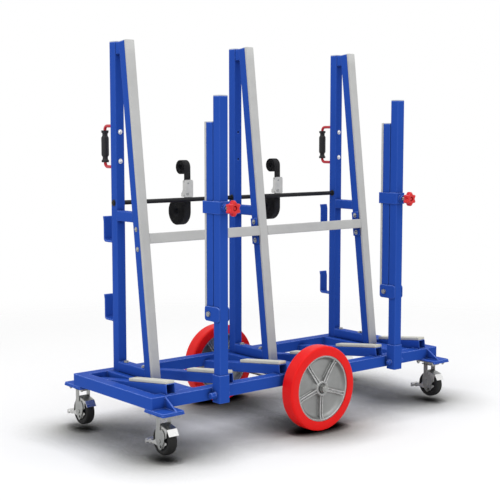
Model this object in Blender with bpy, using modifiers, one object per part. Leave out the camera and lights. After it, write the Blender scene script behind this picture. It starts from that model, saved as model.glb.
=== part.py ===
"""Slab buggy: a steel trolley that carries stone slabs on edge.

X runs along the buggy, -Y is the side with the two clamp posts, Z is up.
Lengths are metres, angles are degrees.
The buggy stands on its two big centre wheels, with the four casters just clear of the floor.
"""

import math

import bpy
import bmesh
from mathutils import Vector

# Fits shared by all pieces
SEAT_GAP = 0.0003
CUT_OVERRUN = 0.004
WELD_BITE = 0.001
TUBE_SIZE = 0.035
TUBE_WALL = 0.0025
TUBE_CORNER = 0.0025
PAD_THICKNESS = 0.010
PAD_EDGE = 0.0015
SLAB_TILT = 7.0
ROUND_STEPS = 18
HOLE_STEPS = 12
CORNER_STEPS = 2
TUBE_CORNER_STEPS = 1
BEVEL_SEGMENTS = 1

# Base frame
FRAME_LENGTH = 1.360
FRAME_WIDTH = 0.480
RAIL_SIZE = 0.040
CROSS_MEMBER_WIDTH = 0.080
A_FRAME_END_SETBACK = 0.1555
REST_COUNT = 6
REST_END_SETBACK = 0.080
REST_FRONT_SETBACK = 0.005
REST_BORE_DEPTH = 0.150
REST_PAD_LENGTH = 0.216

# Centre wheels and their axle
WHEEL_DIAMETER = 0.300
WHEEL_WIDTH = 0.050
WHEEL_STEPS = 32
WHEEL_SIDE_GAP = 0.020
TYRE_SHOULDER = 0.006
RIM_DIAMETER = 0.234
RIM_WIDTH = 0.045
RIM_LIP = 0.007
RIM_BARREL = 0.005
RIM_DISC = 0.010
HUB_DIAMETER = 0.056
HUB_LENGTH = 0.046
RIB_COUNT = 5
RIB_WIDTH = 0.009
RIB_DEPTH = 0.036
AXLE_DIAMETER = 0.025
AXLE_BELOW_FRAME = 0.016
AXLE_COLLAR_DIAMETER = 0.036
AXLE_NUT_DIAMETER = 0.034
AXLE_NUT_LENGTH = 0.009
SADDLE_WIDTH = 0.044

# Casters
CASTER_INSET = 0.045
CASTER_OUTBOARD = 0.0075
CASTER_WHEEL_DIAMETER = 0.096
CASTER_WHEEL_WIDTH = 0.032
CASTER_WHEEL_STEPS = 20
CASTER_TREAD_CROWN = 0.003
CASTER_WHEEL_RECESS = 0.004
CASTER_TRAIL = 0.002
CASTER_HUB_DROP = 0.094
CASTER_PLATE_LENGTH = 0.094
CASTER_PLATE_WIDTH = 0.080
CASTER_PLATE_THICKNESS = 0.004
RACE_DIAMETER = 0.054
RACE_HEIGHT = 0.010
KINGPIN_DIAMETER = 0.010
KINGPIN_HEAD_DIAMETER = 0.020
KINGPIN_HEAD_HEIGHT = 0.004
FORK_PLATE = 0.0025
FORK_BRAKE_GAP = 0.0015
FORK_CROWN_LENGTH = 0.056
FORK_CROWN_THICKNESS = 0.003
FORK_SIDE_SIZE = 0.036
CASTER_AXLE_DIAMETER = 0.008
CASTER_AXLE_HEAD_DIAMETER = 0.015
CASTER_AXLE_HEAD = 0.003
BRAKE_SHEET = 0.0018
BRAKE_SIDE_GAP = 0.0012
BRAKE_TREAD_GAP = 0.0025
BRAKE_HUB_DIAMETER = 0.022
BRAKE_FROM = 24.0
BRAKE_TO = 96.0
PEDAL_TREAD_GAP = 0.0035
PEDAL_LENGTH = 0.038
PEDAL_DROP = 0.022
PEDAL_SIDE_SETBACK = 0.001
MOUNT_PLATE_WIDTH = 0.085
MOUNT_PLATE_OUT = 0.062
MOUNT_PLATE_IN = 0.002
MOUNT_PLATE_CORNER = 0.004
MOUNT_PLATE_THICKNESS = 0.006
GUSSET_THICKNESS = 0.005
GUSSET_INSET = 0.036

# A-frames, the cross bars between them and the strap rod
POST_SETBACK = 0.002
A_FRAME_TOP_GAP = 0.0235
TOP_BLOCK_TOP = 1.3505
TOP_BLOCK_HEIGHT = 0.040
POST_ABOVE_BLOCK = 0.0025
LEG_ABOVE_BLOCK = 0.006
STRUT_BOTTOM = 0.7385
HOOK_BOTTOMS = (0.382, 0.660)
HOOK_HEIGHT = 0.090
HOOK_GAP = 0.046
HOOK_PLATE = 0.006
HOOK_FLARE = 0.004
HOOK_FLARE_HEIGHT = 0.018
HOOK_CORNER = 0.012
CROSS_BAR_HEIGHT = 0.686
CROSS_BAR_PLATE = 0.005
CROSS_BAR_PLATE_HEIGHT = 0.096
ROD_HEIGHT = 0.800
ROD_DIAMETER = 0.016
ROD_END = 0.006

# Handles on the two outer A-frames
HANDLE_ABOVE_ROD = 0.1952
HANDLE_REACH = 0.062
HANDLE_BEND = 0.0145
HANDLE_BEND_STEPS = 6
HANDLE_ROD_DIAMETER = 0.010
HANDLE_FOOT_WIDTH = 0.022
HANDLE_FOOT_HEIGHT = 0.044
HANDLE_FOOT_THICKNESS = 0.003
HANDLE_FOOT_OVERHANG = 0.008
HANDLE_HOLE_SPAN = 0.101
HANDLE_HOLE_DIAMETER = 0.008
GRIP_LENGTH = 0.112
GRIP_END_GAP = 0.00075
GRIP_DIAMETER = 0.027
GRIP_END_DIAMETER = 0.0262
GRIP_NECK_DIAMETER = 0.019

# Clamp posts, arms, screws and knobs
CLAMP_SPREAD = 0.415
CLAMP_POST_BOTTOM = 0.158
CLAMP_POST_TOP = 1.163
CLAMP_POST_RAIL_GAP = 0.002
CLAMP_CAP = 0.004
SOCKET_WALL = 0.0055
SOCKET_BOTTOM = 0.157
SOCKET_HEIGHT = 0.093
ARM_GAP = 0.002
ARM_BELOW_POST_TOP = 0.084
ARM_PIVOT_HEIGHT = 0.449
ARM_BELOW_PIVOT = 0.019
ARM_PIVOT_DIAMETER = 0.010
ARM_PIVOT_HEAD_DIAMETER = 0.018
ARM_PIVOT_HEAD = 0.006
ARM_FACE_ABOVE_FOOT = 0.004
LUG_PLATE = 0.004
LUG_HEIGHT = 0.049
LUG_ABOVE_PIVOT = 0.026
LUG_SIDE_GAP = 0.0003
LUG_CORNER = 0.010
SCREW_HEIGHT = 0.801
SCREW_DIAMETER = 0.012
GUIDE_PLATE = 0.0045
GUIDE_HEIGHT = 0.041
GUIDE_PAST_ARM = 0.014
BOSS_DIAMETER = 0.024
BOSS_LENGTH = 0.0115
KNOB_TRAVEL = 0.021
KNOB_DIAMETER = 0.050
KNOB_LOBES = 6
KNOB_LOBE_POINTS = 4
KNOB_LOBE_DEPTH = 0.006
KNOB_THICKNESS = 0.022
KNOB_EDGE = 0.003
KNOB_BORE_DEPTH = 0.014
KNOB_RECESS_DIAMETER = 0.018
KNOB_RECESS_DEPTH = 0.003

# Rolled straps and their buckles
STRAP_SPREAD = 0.218
STRAP_WIDTH = 0.029
STRAP_THICKNESS = 0.0022
STRAP_PITCH = 0.0047
STRAP_LOOP_POINTS = 24
STRAP_MIN_GAP = 0.0004
LOWER_ROLL_DIAMETER = 0.098
LOWER_ROLL_TURNS = 7
LOWER_ROLL_BELOW_ROD = 0.043
UPPER_ROLL_DIAMETER = 0.051
UPPER_ROLL_TURNS = 3
UPPER_ROLL_ABOVE_ROD = 0.119
BUCKLE_PLATE = 0.002
BUCKLE_SIDE_GAP = 0.0015
BUCKLE_HEIGHT = 0.0637
BUCKLE_PIN_DIAMETER = 0.006
BUCKLE_DEPTH_TOP = 0.014
BUCKLE_DEPTH_BOTTOM = 0.024
BUCKLE_WAIST_SHARE = 0.45

# Outlines written as shares of the size that they follow
FORK_OUTLINE_SHARES = (
    (-0.08, 0.94), (-0.24, 1.12), (-0.48, 1.02), (-0.68, 0.72), (-0.74, 0.36), (-0.60, -0.06),
    (-0.34, -0.56), (-0.18, -0.74), (-0.02, -0.78), (0.16, -0.70), (0.38, -0.46),
    (0.66, -0.08), (0.80, 0.34), (0.69, 1.20),
)
PEDAL_ROUTE_SHARES = ((0.0, 0.0), (0.28, 0.10), (0.62, 0.38), (0.86, 0.74), (1.0, 1.0))
GRIP_PROFILE_SHARES = (
    (0.50, "end"), (0.44, "end"), (0.39, "neck"), (0.32, "neck"), (0.27, "barrel"),
    (-0.27, "barrel"), (-0.32, "neck"), (-0.39, "neck"), (-0.44, "end"), (-0.50, "end"),
)
BRAKE_WEB_ANGLES = (34.0, 62.0, 90.0)

# Heights and depths that follow from the sizes above
TILT = math.radians(SLAB_TILT)
SLOPE = math.tan(TILT)
AXLE_HEIGHT = WHEEL_DIAMETER / 2
FRAME_BOTTOM = AXLE_HEIGHT + AXLE_BELOW_FRAME
FRAME_TOP = FRAME_BOTTOM + RAIL_SIZE
FRAME_SIDE = FRAME_WIDTH / 2
FRAME_END = FRAME_LENGTH / 2
RAIL_INNER = FRAME_SIDE - RAIL_SIZE
REST_PITCH = 2 * (FRAME_END - REST_END_SETBACK) / (REST_COUNT - 1)
A_FRAME_PITCH = FRAME_END - A_FRAME_END_SETBACK
A_FRAME_CENTRES = {"left": -A_FRAME_PITCH, "middle": 0.0, "right": A_FRAME_PITCH}
A_FRAME_FOOT = FRAME_TOP + SEAT_GAP
A_FRAME_FOOT_GAP = A_FRAME_TOP_GAP + SLOPE * (TOP_BLOCK_TOP - FRAME_TOP)
TOP_BLOCK_BOTTOM = TOP_BLOCK_TOP - TOP_BLOCK_HEIGHT
POST_TOP = TOP_BLOCK_TOP + POST_ABOVE_BLOCK
LEG_TOP = TOP_BLOCK_TOP + LEG_ABOVE_BLOCK
POST_BACK = RAIL_INNER - POST_SETBACK
POST_FRONT = POST_BACK - TUBE_SIZE
POST_MIDDLE = (POST_BACK + POST_FRONT) / 2
LEG_FACE_FOOT_Y = POST_FRONT - A_FRAME_FOOT_GAP - (TUBE_SIZE + PAD_THICKNESS) / math.cos(TILT)
WHEEL_MIDDLE = FRAME_SIDE + WHEEL_SIDE_GAP + WHEEL_WIDTH / 2
CASTER_X = FRAME_END - CASTER_INSET
CASTER_Y = FRAME_SIDE + CASTER_OUTBOARD
MOUNT_PLATE_BOTTOM = FRAME_BOTTOM - MOUNT_PLATE_THICKNESS
CASTER_HUB_HEIGHT = MOUNT_PLATE_BOTTOM - CASTER_HUB_DROP
BRAKE_WIDTH = CASTER_WHEEL_WIDTH + 2 * (BRAKE_SIDE_GAP + BRAKE_SHEET)
FORK_INNER_WIDTH = BRAKE_WIDTH + 2 * FORK_BRAKE_GAP
PEDAL_ROOT = CASTER_WHEEL_DIAMETER / 2 + PEDAL_TREAD_GAP
PEDAL_REACH = PEDAL_ROOT + PEDAL_LENGTH
PEDAL_WIDTH = BRAKE_WIDTH - 2 * PEDAL_SIDE_SETBACK
HANDLE_MIDDLE = ROD_HEIGHT + HANDLE_ABOVE_ROD
HANDLE_SPAN = GRIP_LENGTH + 2 * (GRIP_END_GAP + HANDLE_BEND)
CLAMP_POST_INNER = -FRAME_SIDE - CLAMP_POST_RAIL_GAP
CLAMP_POST_OUTER = CLAMP_POST_INNER - TUBE_SIZE
ARM_OUTER = CLAMP_POST_INNER + ARM_GAP
ARM_INNER = ARM_OUTER + TUBE_SIZE
ARM_MIDDLE = (ARM_OUTER + ARM_INNER) / 2
ARM_TOP = CLAMP_POST_TOP - ARM_BELOW_POST_TOP
BOSS_FACE = CLAMP_POST_OUTER - GUIDE_PLATE - BOSS_LENGTH
KNOB_BACK = BOSS_FACE - KNOB_TRAVEL
KNOB_FACE = KNOB_BACK - KNOB_THICKNESS
PEDAL_END = CASTER_Y - CASTER_TRAIL + PEDAL_REACH
STRAP_PLANE = POST_MIDDLE + ROD_DIAMETER / 2 + SEAT_GAP + STRAP_THICKNESS / 2
LOWER_ROLL_HEIGHT = ROD_HEIGHT - LOWER_ROLL_BELOW_ROD
UPPER_ROLL_HEIGHT = ROD_HEIGHT + UPPER_ROLL_ABOVE_ROD
BUCKLE_BOTTOM = ROD_HEIGHT + ROD_DIAMETER / 2 + SEAT_GAP
BUCKLE_TOP = BUCKLE_BOTTOM + BUCKLE_HEIGHT
BUCKLE_WIDTH = STRAP_WIDTH + 2 * BUCKLE_SIDE_GAP + 3 * BUCKLE_PLATE
CENTRING = -(PEDAL_END + KNOB_FACE) / 2


def clear_scene():
    for obj in list(bpy.data.objects):
        bpy.data.objects.remove(obj, do_unlink=True)


def new_material(name, colour, roughness, metallic):
    material = bpy.data.materials.new(name)
    material.use_nodes = True
    shader = material.node_tree.nodes["Principled BSDF"]
    shader.inputs["Base Color"].default_value = (*colour, 1.0)
    shader.inputs["Roughness"].default_value = roughness
    shader.inputs["Metallic"].default_value = metallic
    material.diffuse_color = (*colour, 1.0)
    return material


clear_scene()

# Both collections join the scene at the end, so that no outline waits for the Booleans
PARTS = bpy.data.collections.new("slab_buggy")
CUTTERS = bpy.data.collections.new("cutters")
ROOT = bpy.data.objects.new("slab_buggy_origin", None)
PARTS.objects.link(ROOT)
ROOT.location = (0.0, CENTRING, 0.0)

BLUE = new_material("blue_powder_coat", (0.03, 0.09, 0.44), 0.38, 0.0)
GREY_RUBBER = new_material("grey_rubber", (0.48, 0.49, 0.49), 0.70, 0.0)
CREAM_RUBBER = new_material("cream_rubber", (0.62, 0.61, 0.52), 0.65, 0.0)
RED_TYRE = new_material("red_polyurethane", (0.80, 0.02, 0.02), 0.40, 0.0)
CAST_GREY = new_material("cast_aluminium", (0.38, 0.40, 0.40), 0.45, 0.8)
ZINC = new_material("zinc_plate", (0.48, 0.48, 0.46), 0.35, 0.9)
BLACK_RUBBER = new_material("black_rubber", (0.02, 0.02, 0.02), 0.60, 0.0)
BLACK_STEEL = new_material("black_steel", (0.02, 0.02, 0.02), 0.40, 0.3)
BLACK_PLASTIC = new_material("black_plastic", (0.025, 0.025, 0.025), 0.50, 0.0)
RED_PLASTIC = new_material("red_plastic", (0.62, 0.02, 0.03), 0.40, 0.0)
RED_ENAMEL = new_material("red_enamel", (0.55, 0.03, 0.05), 0.40, 0.0)
BLACK_WEB = new_material("black_webbing", (0.015, 0.015, 0.016), 0.85, 0.0)

# Object rotations that lay a flat shape's own XY plane in a plane of the buggy
ACROSS = (math.radians(90), 0.0, math.radians(90))
ALONG = (math.radians(90), 0.0, 0.0)
LEVEL = (0.0, 0.0, 0.0)
SPIN_ON_Y = (math.radians(-90), 0.0, 0.0)
SPIN_ON_X = (0.0, math.radians(90), 0.0)


def place(obj, location, rotation=LEVEL, parent=None, material=None, collection=None):
    obj.parent = parent or ROOT
    obj.location = location
    obj.rotation_euler = rotation
    if material:
        obj.data.materials.clear()
        obj.data.materials.append(material)
    (collection or PARTS).objects.link(obj)
    return obj


def as_tool(obj):
    """Keep an object for Boolean work only."""
    for collection in list(obj.users_collection):
        collection.objects.unlink(obj)
    CUTTERS.objects.link(obj)
    obj.hide_render = True
    obj.display_type = "WIRE"
    return obj


def curve_mesh(name, curve):
    """Mesh of a curve's solid, with its caps welded on."""
    holder = bpy.data.objects.new(name, curve)
    bpy.context.scene.collection.objects.link(holder)
    depsgraph = bpy.context.evaluated_depsgraph_get()
    mesh = bpy.data.meshes.new_from_object(holder.evaluated_get(depsgraph))
    mesh.name = name
    work = bmesh.new()
    work.from_mesh(mesh)
    bmesh.ops.remove_doubles(work, verts=work.verts, dist=SEAT_GAP / ROUND_STEPS)
    bmesh.ops.recalc_face_normals(work, faces=work.faces)
    work.to_mesh(mesh)
    work.free()
    bpy.data.objects.remove(holder, do_unlink=True)
    bpy.data.curves.remove(curve)
    return mesh


def flat(name, outlines, thickness):
    """Plate cut to closed outlines: the first is the edge, the rest are holes."""
    curve = bpy.data.curves.new(name, "CURVE")
    curve.dimensions = "2D"
    curve.fill_mode = "BOTH"
    curve.extrude = thickness / 2
    for outline in outlines:
        spline = curve.splines.new("POLY")
        spline.points.add(len(outline) - 1)
        for point, (u, v) in zip(spline.points, outline):
            point.co = (u, v, 0.0, 1.0)
        spline.use_cyclic_u = True
    return bpy.data.objects.new(name, curve_mesh(name, curve))


def rod(name, radius, length, steps=ROUND_STEPS):
    """Cylinder along its own Z, centred on its origin."""
    mesh = bpy.data.meshes.new(name)
    work = bmesh.new()
    bmesh.ops.create_cone(work, cap_ends=True, segments=steps, radius1=radius, radius2=radius, depth=length)
    work.to_mesh(mesh)
    work.free()
    mesh.shade_smooth()
    mesh.set_sharp_from_angle(angle=math.radians(40))
    return bpy.data.objects.new(name, mesh)


def block(name, size):
    """Box centred on its origin."""
    mesh = bpy.data.meshes.new(name)
    work = bmesh.new()
    bmesh.ops.create_cube(work, size=1.0)
    bmesh.ops.scale(work, vec=Vector(size), verts=work.verts)
    work.to_mesh(mesh)
    work.free()
    return bpy.data.objects.new(name, mesh)


def turned(name, profile, steps):
    """Ring turned about its own Z from a closed profile of (radius, height) points.

    The profile runs down its outer side and back up its bore.
    """
    mesh = bpy.data.meshes.new(name)
    verts = [(radius, 0.0, height) for radius, height in profile]
    edges = [(index, (index + 1) % len(verts)) for index in range(len(verts))]
    mesh.from_pydata(verts, edges, [])
    obj = bpy.data.objects.new(name, mesh)
    screw = obj.modifiers.new("turn", "SCREW")
    screw.angle = math.radians(360)
    screw.steps = steps
    screw.render_steps = steps
    screw.use_merge_vertices = True
    screw.merge_threshold = SEAT_GAP / ROUND_STEPS
    screw.use_smooth_shade = True
    return obj


def bevelled(obj, width):
    bevel = obj.modifiers.new("edges", "BEVEL")
    bevel.width = width
    bevel.segments = BEVEL_SEGMENTS
    bevel.limit_method = "ANGLE"
    bevel.angle_limit = math.radians(40)
    return obj


def combine(obj, tools, operation):
    """Join or cut with a group of tools in one exact Boolean."""
    group = bpy.data.collections.new(obj.name + "_" + operation.lower())
    CUTTERS.children.link(group)
    for tool in tools:
        as_tool(tool)
        CUTTERS.objects.unlink(tool)
        group.objects.link(tool)
    boolean = obj.modifiers.new(operation.lower(), "BOOLEAN")
    boolean.operation = operation
    boolean.operand_type = "COLLECTION"
    boolean.collection = group
    boolean.solver = "EXACT"
    return obj


def arc(centre, radius, start, end, steps):
    """Points of an arc, from one angle in degrees to another."""
    points = []
    for index in range(steps + 1):
        angle = math.radians(start + (end - start) * index / steps)
        points.append((centre[0] + radius * math.cos(angle), centre[1] + radius * math.sin(angle)))
    return points


def circle(centre, radius, steps=HOLE_STEPS):
    return arc(centre, radius, 0, 360, steps)[:-1]


def rounded(half_width, half_height, corner, steps=CORNER_STEPS):
    """Rectangle about the origin with round corners."""
    points = []
    for side_u, side_v, start in ((1, 1, 0), (-1, 1, 90), (-1, -1, 180), (1, -1, 270)):
        centre = (side_u * (half_width - corner), side_v * (half_height - corner))
        points += arc(centre, corner, start, start + 90, steps)
    return points


def leg_y(height, depth):
    """Y of a plane that lies a depth behind the slab face, at a height."""
    return LEG_FACE_FOOT_Y + depth / math.cos(TILT) + SLOPE * (height - FRAME_TOP)


def leaning(depth, rise):
    """Point at a depth behind the slab face and a rise along it from the frame top."""
    y = LEG_FACE_FOOT_Y + depth * math.cos(TILT) + rise * math.sin(TILT)
    z = FRAME_TOP - depth * math.sin(TILT) + rise * math.cos(TILT)
    return (y, z)


def tool(obj, location, rotation=LEVEL, parent=None):
    """Place an object that only joins or cuts another."""
    return place(obj, location, rotation, parent, collection=CUTTERS)


def tilted_point(start, along, up):
    """Point reached from a (y, z) start by a run to the back and a rise square to it."""
    y = start[0] + along * math.cos(TILT) + up * math.sin(TILT)
    z = start[1] - along * math.sin(TILT) + up * math.cos(TILT)
    return (y, z)


def u_bracket(name, wall, back, inner_front, height):
    """Channel round a square tube, open to +Y."""
    inner = TUBE_SIZE / 2 + SEAT_GAP
    outer = inner + wall
    front = inner_front - wall
    outline = [
        (-outer, back), (-outer, front), (outer, front), (outer, back),
        (inner, back), (inner, inner_front), (-inner, inner_front), (-inner, back),
    ]
    return flat(name, [outline], height)


REST_START = (-FRAME_SIDE + REST_FRONT_SETBACK, FRAME_TOP)
REST_RUN = (RAIL_INNER - MOUNT_PLATE_IN - REST_START[0]) / math.cos(TILT)
REST_CENTRES = [REST_PITCH * (index - (REST_COUNT - 1) / 2) for index in range(REST_COUNT)]
CORNERS = {"front_left": (-1, -1), "front_right": (1, -1), "back_left": (-1, 1), "back_right": (1, 1)}
SIDES = {"left": -1, "right": 1}


def build_base_frame():
    """Welded base: rails and cross members, slab rests, caster plates, sockets and axle saddles."""
    outlines = [rounded(FRAME_END, FRAME_SIDE, TUBE_CORNER, TUBE_CORNER_STEPS)]
    start = -FRAME_END + RAIL_SIZE
    for centre in A_FRAME_CENTRES.values():
        outlines.append(bay_outline(start, centre - CROSS_MEMBER_WIDTH / 2))
        start = centre + CROSS_MEMBER_WIDTH / 2
    outlines.append(bay_outline(start, FRAME_END - RAIL_SIZE))
    frame = flat("base_frame", outlines, RAIL_SIZE)
    place(frame, (0.0, 0.0, (FRAME_TOP + FRAME_BOTTOM) / 2), material=BLUE)
    bevelled(frame, TUBE_CORNER)

    welded = []
    bores = []
    turn = (-math.radians(90) - TILT, 0.0, 0.0)
    half = TUBE_SIZE / 2
    bore = half - TUBE_WALL
    for index, x in enumerate(REST_CENTRES, start=1):
        y, z = tilted_point(REST_START, REST_RUN / 2, half)
        bar = flat(f"rest_bar_{index}", [rounded(half, half, TUBE_CORNER, TUBE_CORNER_STEPS)], REST_RUN)
        welded.append(tool(bar, (x, y, z), turn))
        y, z = tilted_point(REST_START, (REST_BORE_DEPTH - CUT_OVERRUN) / 2, half)
        hollow = flat(f"rest_bore_{index}", [rounded(bore, bore, TUBE_CORNER / 2, TUBE_CORNER_STEPS)], REST_BORE_DEPTH + CUT_OVERRUN)
        bores.append(tool(hollow, (x, y, z), turn))

    plate_inner = RAIL_INNER - MOUNT_PLATE_IN
    plate_outer = FRAME_SIDE + MOUNT_PLATE_OUT
    plate_half = (plate_outer - plate_inner) / 2
    for corner, (side_x, side_y) in CORNERS.items():
        thickness = MOUNT_PLATE_THICKNESS + WELD_BITE
        outline = rounded(MOUNT_PLATE_WIDTH / 2, plate_half, MOUNT_PLATE_CORNER)
        plate = flat(f"mount_plate_{corner}", [outline], thickness)
        x = side_x * (FRAME_END - MOUNT_PLATE_WIDTH / 2)
        y = side_y * (plate_outer + plate_inner) / 2
        welded.append(tool(plate, (x, y, MOUNT_PLATE_BOTTOM + thickness / 2)))
        inner = side_y * (FRAME_SIDE - WELD_BITE)
        outline = [
            (inner, FRAME_TOP - TUBE_CORNER),
            (inner, FRAME_BOTTOM - WELD_BITE),
            (side_y * (plate_outer - MOUNT_PLATE_CORNER), FRAME_BOTTOM - WELD_BITE),
            (side_y * (plate_outer - MOUNT_PLATE_CORNER), FRAME_BOTTOM + WELD_BITE),
        ]
        gusset = flat(f"gusset_{corner}", [outline], GUSSET_THICKNESS)
        welded.append(tool(gusset, (side_x * (FRAME_END - GUSSET_INSET), 0.0, 0.0), ACROSS))

    for side, sign in SIDES.items():
        socket = u_bracket(
            f"socket_{side}", SOCKET_WALL, -FRAME_SIDE + WELD_BITE, CLAMP_POST_OUTER - SEAT_GAP, SOCKET_HEIGHT
        )
        welded.append(tool(socket, (sign * CLAMP_SPREAD, 0.0, SOCKET_BOTTOM + SOCKET_HEIGHT / 2)))

    for side, sign in (("front", -1), ("back", 1)):
        radius = SADDLE_WIDTH / 2
        outline = arc((0.0, AXLE_HEIGHT), radius, 180, 360, ROUND_STEPS // 2)
        outline += [(radius, FRAME_BOTTOM + WELD_BITE), (-radius, FRAME_BOTTOM + WELD_BITE)]
        hole = circle((0.0, AXLE_HEIGHT), AXLE_DIAMETER / 2 + SEAT_GAP, ROUND_STEPS)
        saddle = flat(f"axle_saddle_{side}", [outline, hole], RAIL_SIZE - TUBE_CORNER)
        welded.append(tool(saddle, (0.0, sign * (RAIL_INNER + FRAME_SIDE) / 2, 0.0), ALONG))

    combine(frame, welded, "UNION")
    combine(frame, bores, "DIFFERENCE")


def bay_outline(start, end):
    """Open bay of the base frame between two members."""
    return [(start, -RAIL_INNER), (start, RAIL_INNER), (end, RAIL_INNER), (end, -RAIL_INNER)]


def build_rest_pads():
    for index, x in enumerate(REST_CENTRES, start=1):
        up = TUBE_SIZE + SEAT_GAP + PAD_THICKNESS / 2
        y, z = tilted_point(REST_START, REST_PAD_LENGTH / 2, up)
        pad = block(f"slab_rest_pad_{index}", (TUBE_SIZE, REST_PAD_LENGTH, PAD_THICKNESS))
        place(pad, (x, y, z), (-TILT, 0.0, 0.0), material=CREAM_RUBBER)
        bevelled(pad, PAD_EDGE)


def build_axle():
    hub_end = WHEEL_MIDDLE + HUB_LENGTH / 2
    collar_start = FRAME_SIDE + SEAT_GAP
    collar_end = WHEEL_MIDDLE - HUB_LENGTH / 2 - SEAT_GAP
    nut_start = hub_end + SEAT_GAP
    axle = rod("wheel_axle", AXLE_DIAMETER / 2, 2 * (nut_start + AXLE_NUT_LENGTH + TUBE_WALL))
    place(axle, (0.0, 0.0, AXLE_HEIGHT), SPIN_ON_Y, material=ZINC)
    joined = []
    for side, sign in (("front", -1), ("back", 1)):
        collar = rod(f"axle_collar_{side}", AXLE_COLLAR_DIAMETER / 2, collar_end - collar_start)
        joined.append(tool(collar, (0.0, sign * (collar_start + collar_end) / 2, AXLE_HEIGHT), SPIN_ON_Y))
        nut = rod(f"axle_nut_{side}", AXLE_NUT_DIAMETER / 2, AXLE_NUT_LENGTH, 6)
        joined.append(tool(nut, (0.0, sign * (nut_start + AXLE_NUT_LENGTH / 2), AXLE_HEIGHT), SPIN_ON_Y))
    combine(axle, joined, "UNION")


def build_centre_wheel(side, sign):
    """One polyurethane tyre on its five-ribbed cast rim."""
    centre = (0.0, sign * WHEEL_MIDDLE, AXLE_HEIGHT)
    half_step = math.radians(180 / WHEEL_STEPS)
    turn = (math.radians(-90), half_step, 0.0)

    radius = WHEEL_DIAMETER / 2 / math.cos(half_step)
    half = WHEEL_WIDTH / 2
    bead = RIM_DIAMETER / 2
    shoulder = (radius - TYRE_SHOULDER, half - TYRE_SHOULDER)
    profile = [(bead, half)]
    profile += list(reversed(arc(shoulder, TYRE_SHOULDER, 0, 90, CORNER_STEPS)))
    profile += list(reversed(arc((shoulder[0], -shoulder[1]), TYRE_SHOULDER, -90, 0, CORNER_STEPS)))
    profile += [(bead, -half)]
    tyre = turned(f"wheel_tyre_{side}", profile, WHEEL_STEPS)
    place(tyre, centre, turn, material=RED_TYRE)

    outer = bead - SEAT_GAP
    face = RIM_WIDTH / 2
    disc = RIM_DISC / 2
    hub = HUB_DIAMETER / 2
    bore = AXLE_DIAMETER / 2 + SEAT_GAP
    lip = outer - RIM_LIP
    upper = [
        (bore, HUB_LENGTH / 2), (hub, HUB_LENGTH / 2), (hub + RIM_BARREL, disc),
        (lip - RIM_BARREL, disc), (lip, face), (outer, face),
    ]
    profile = upper + [(r, -h) for r, h in reversed(upper)]
    rim = turned(f"wheel_rim_{side}", profile, WHEEL_STEPS)
    place(rim, centre, turn, material=CAST_GREY)
    rib_start = hub - RIM_BARREL / 2
    rib_end = lip + RIM_LIP / 4
    ribs = []
    for index in range(RIB_COUNT):
        angle = math.radians(90 + 360 * index / RIB_COUNT)
        rib = block(f"rim_rib_{side}_{index}", (rib_end - rib_start, RIB_WIDTH, RIB_DEPTH))
        reach = (rib_start + rib_end) / 2
        spot = (reach * math.cos(angle), centre[1], AXLE_HEIGHT - reach * math.sin(angle))
        ribs.append(tool(rib, spot, (math.radians(-90), angle, 0.0)))
    combine(rim, ribs, "UNION")


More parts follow.
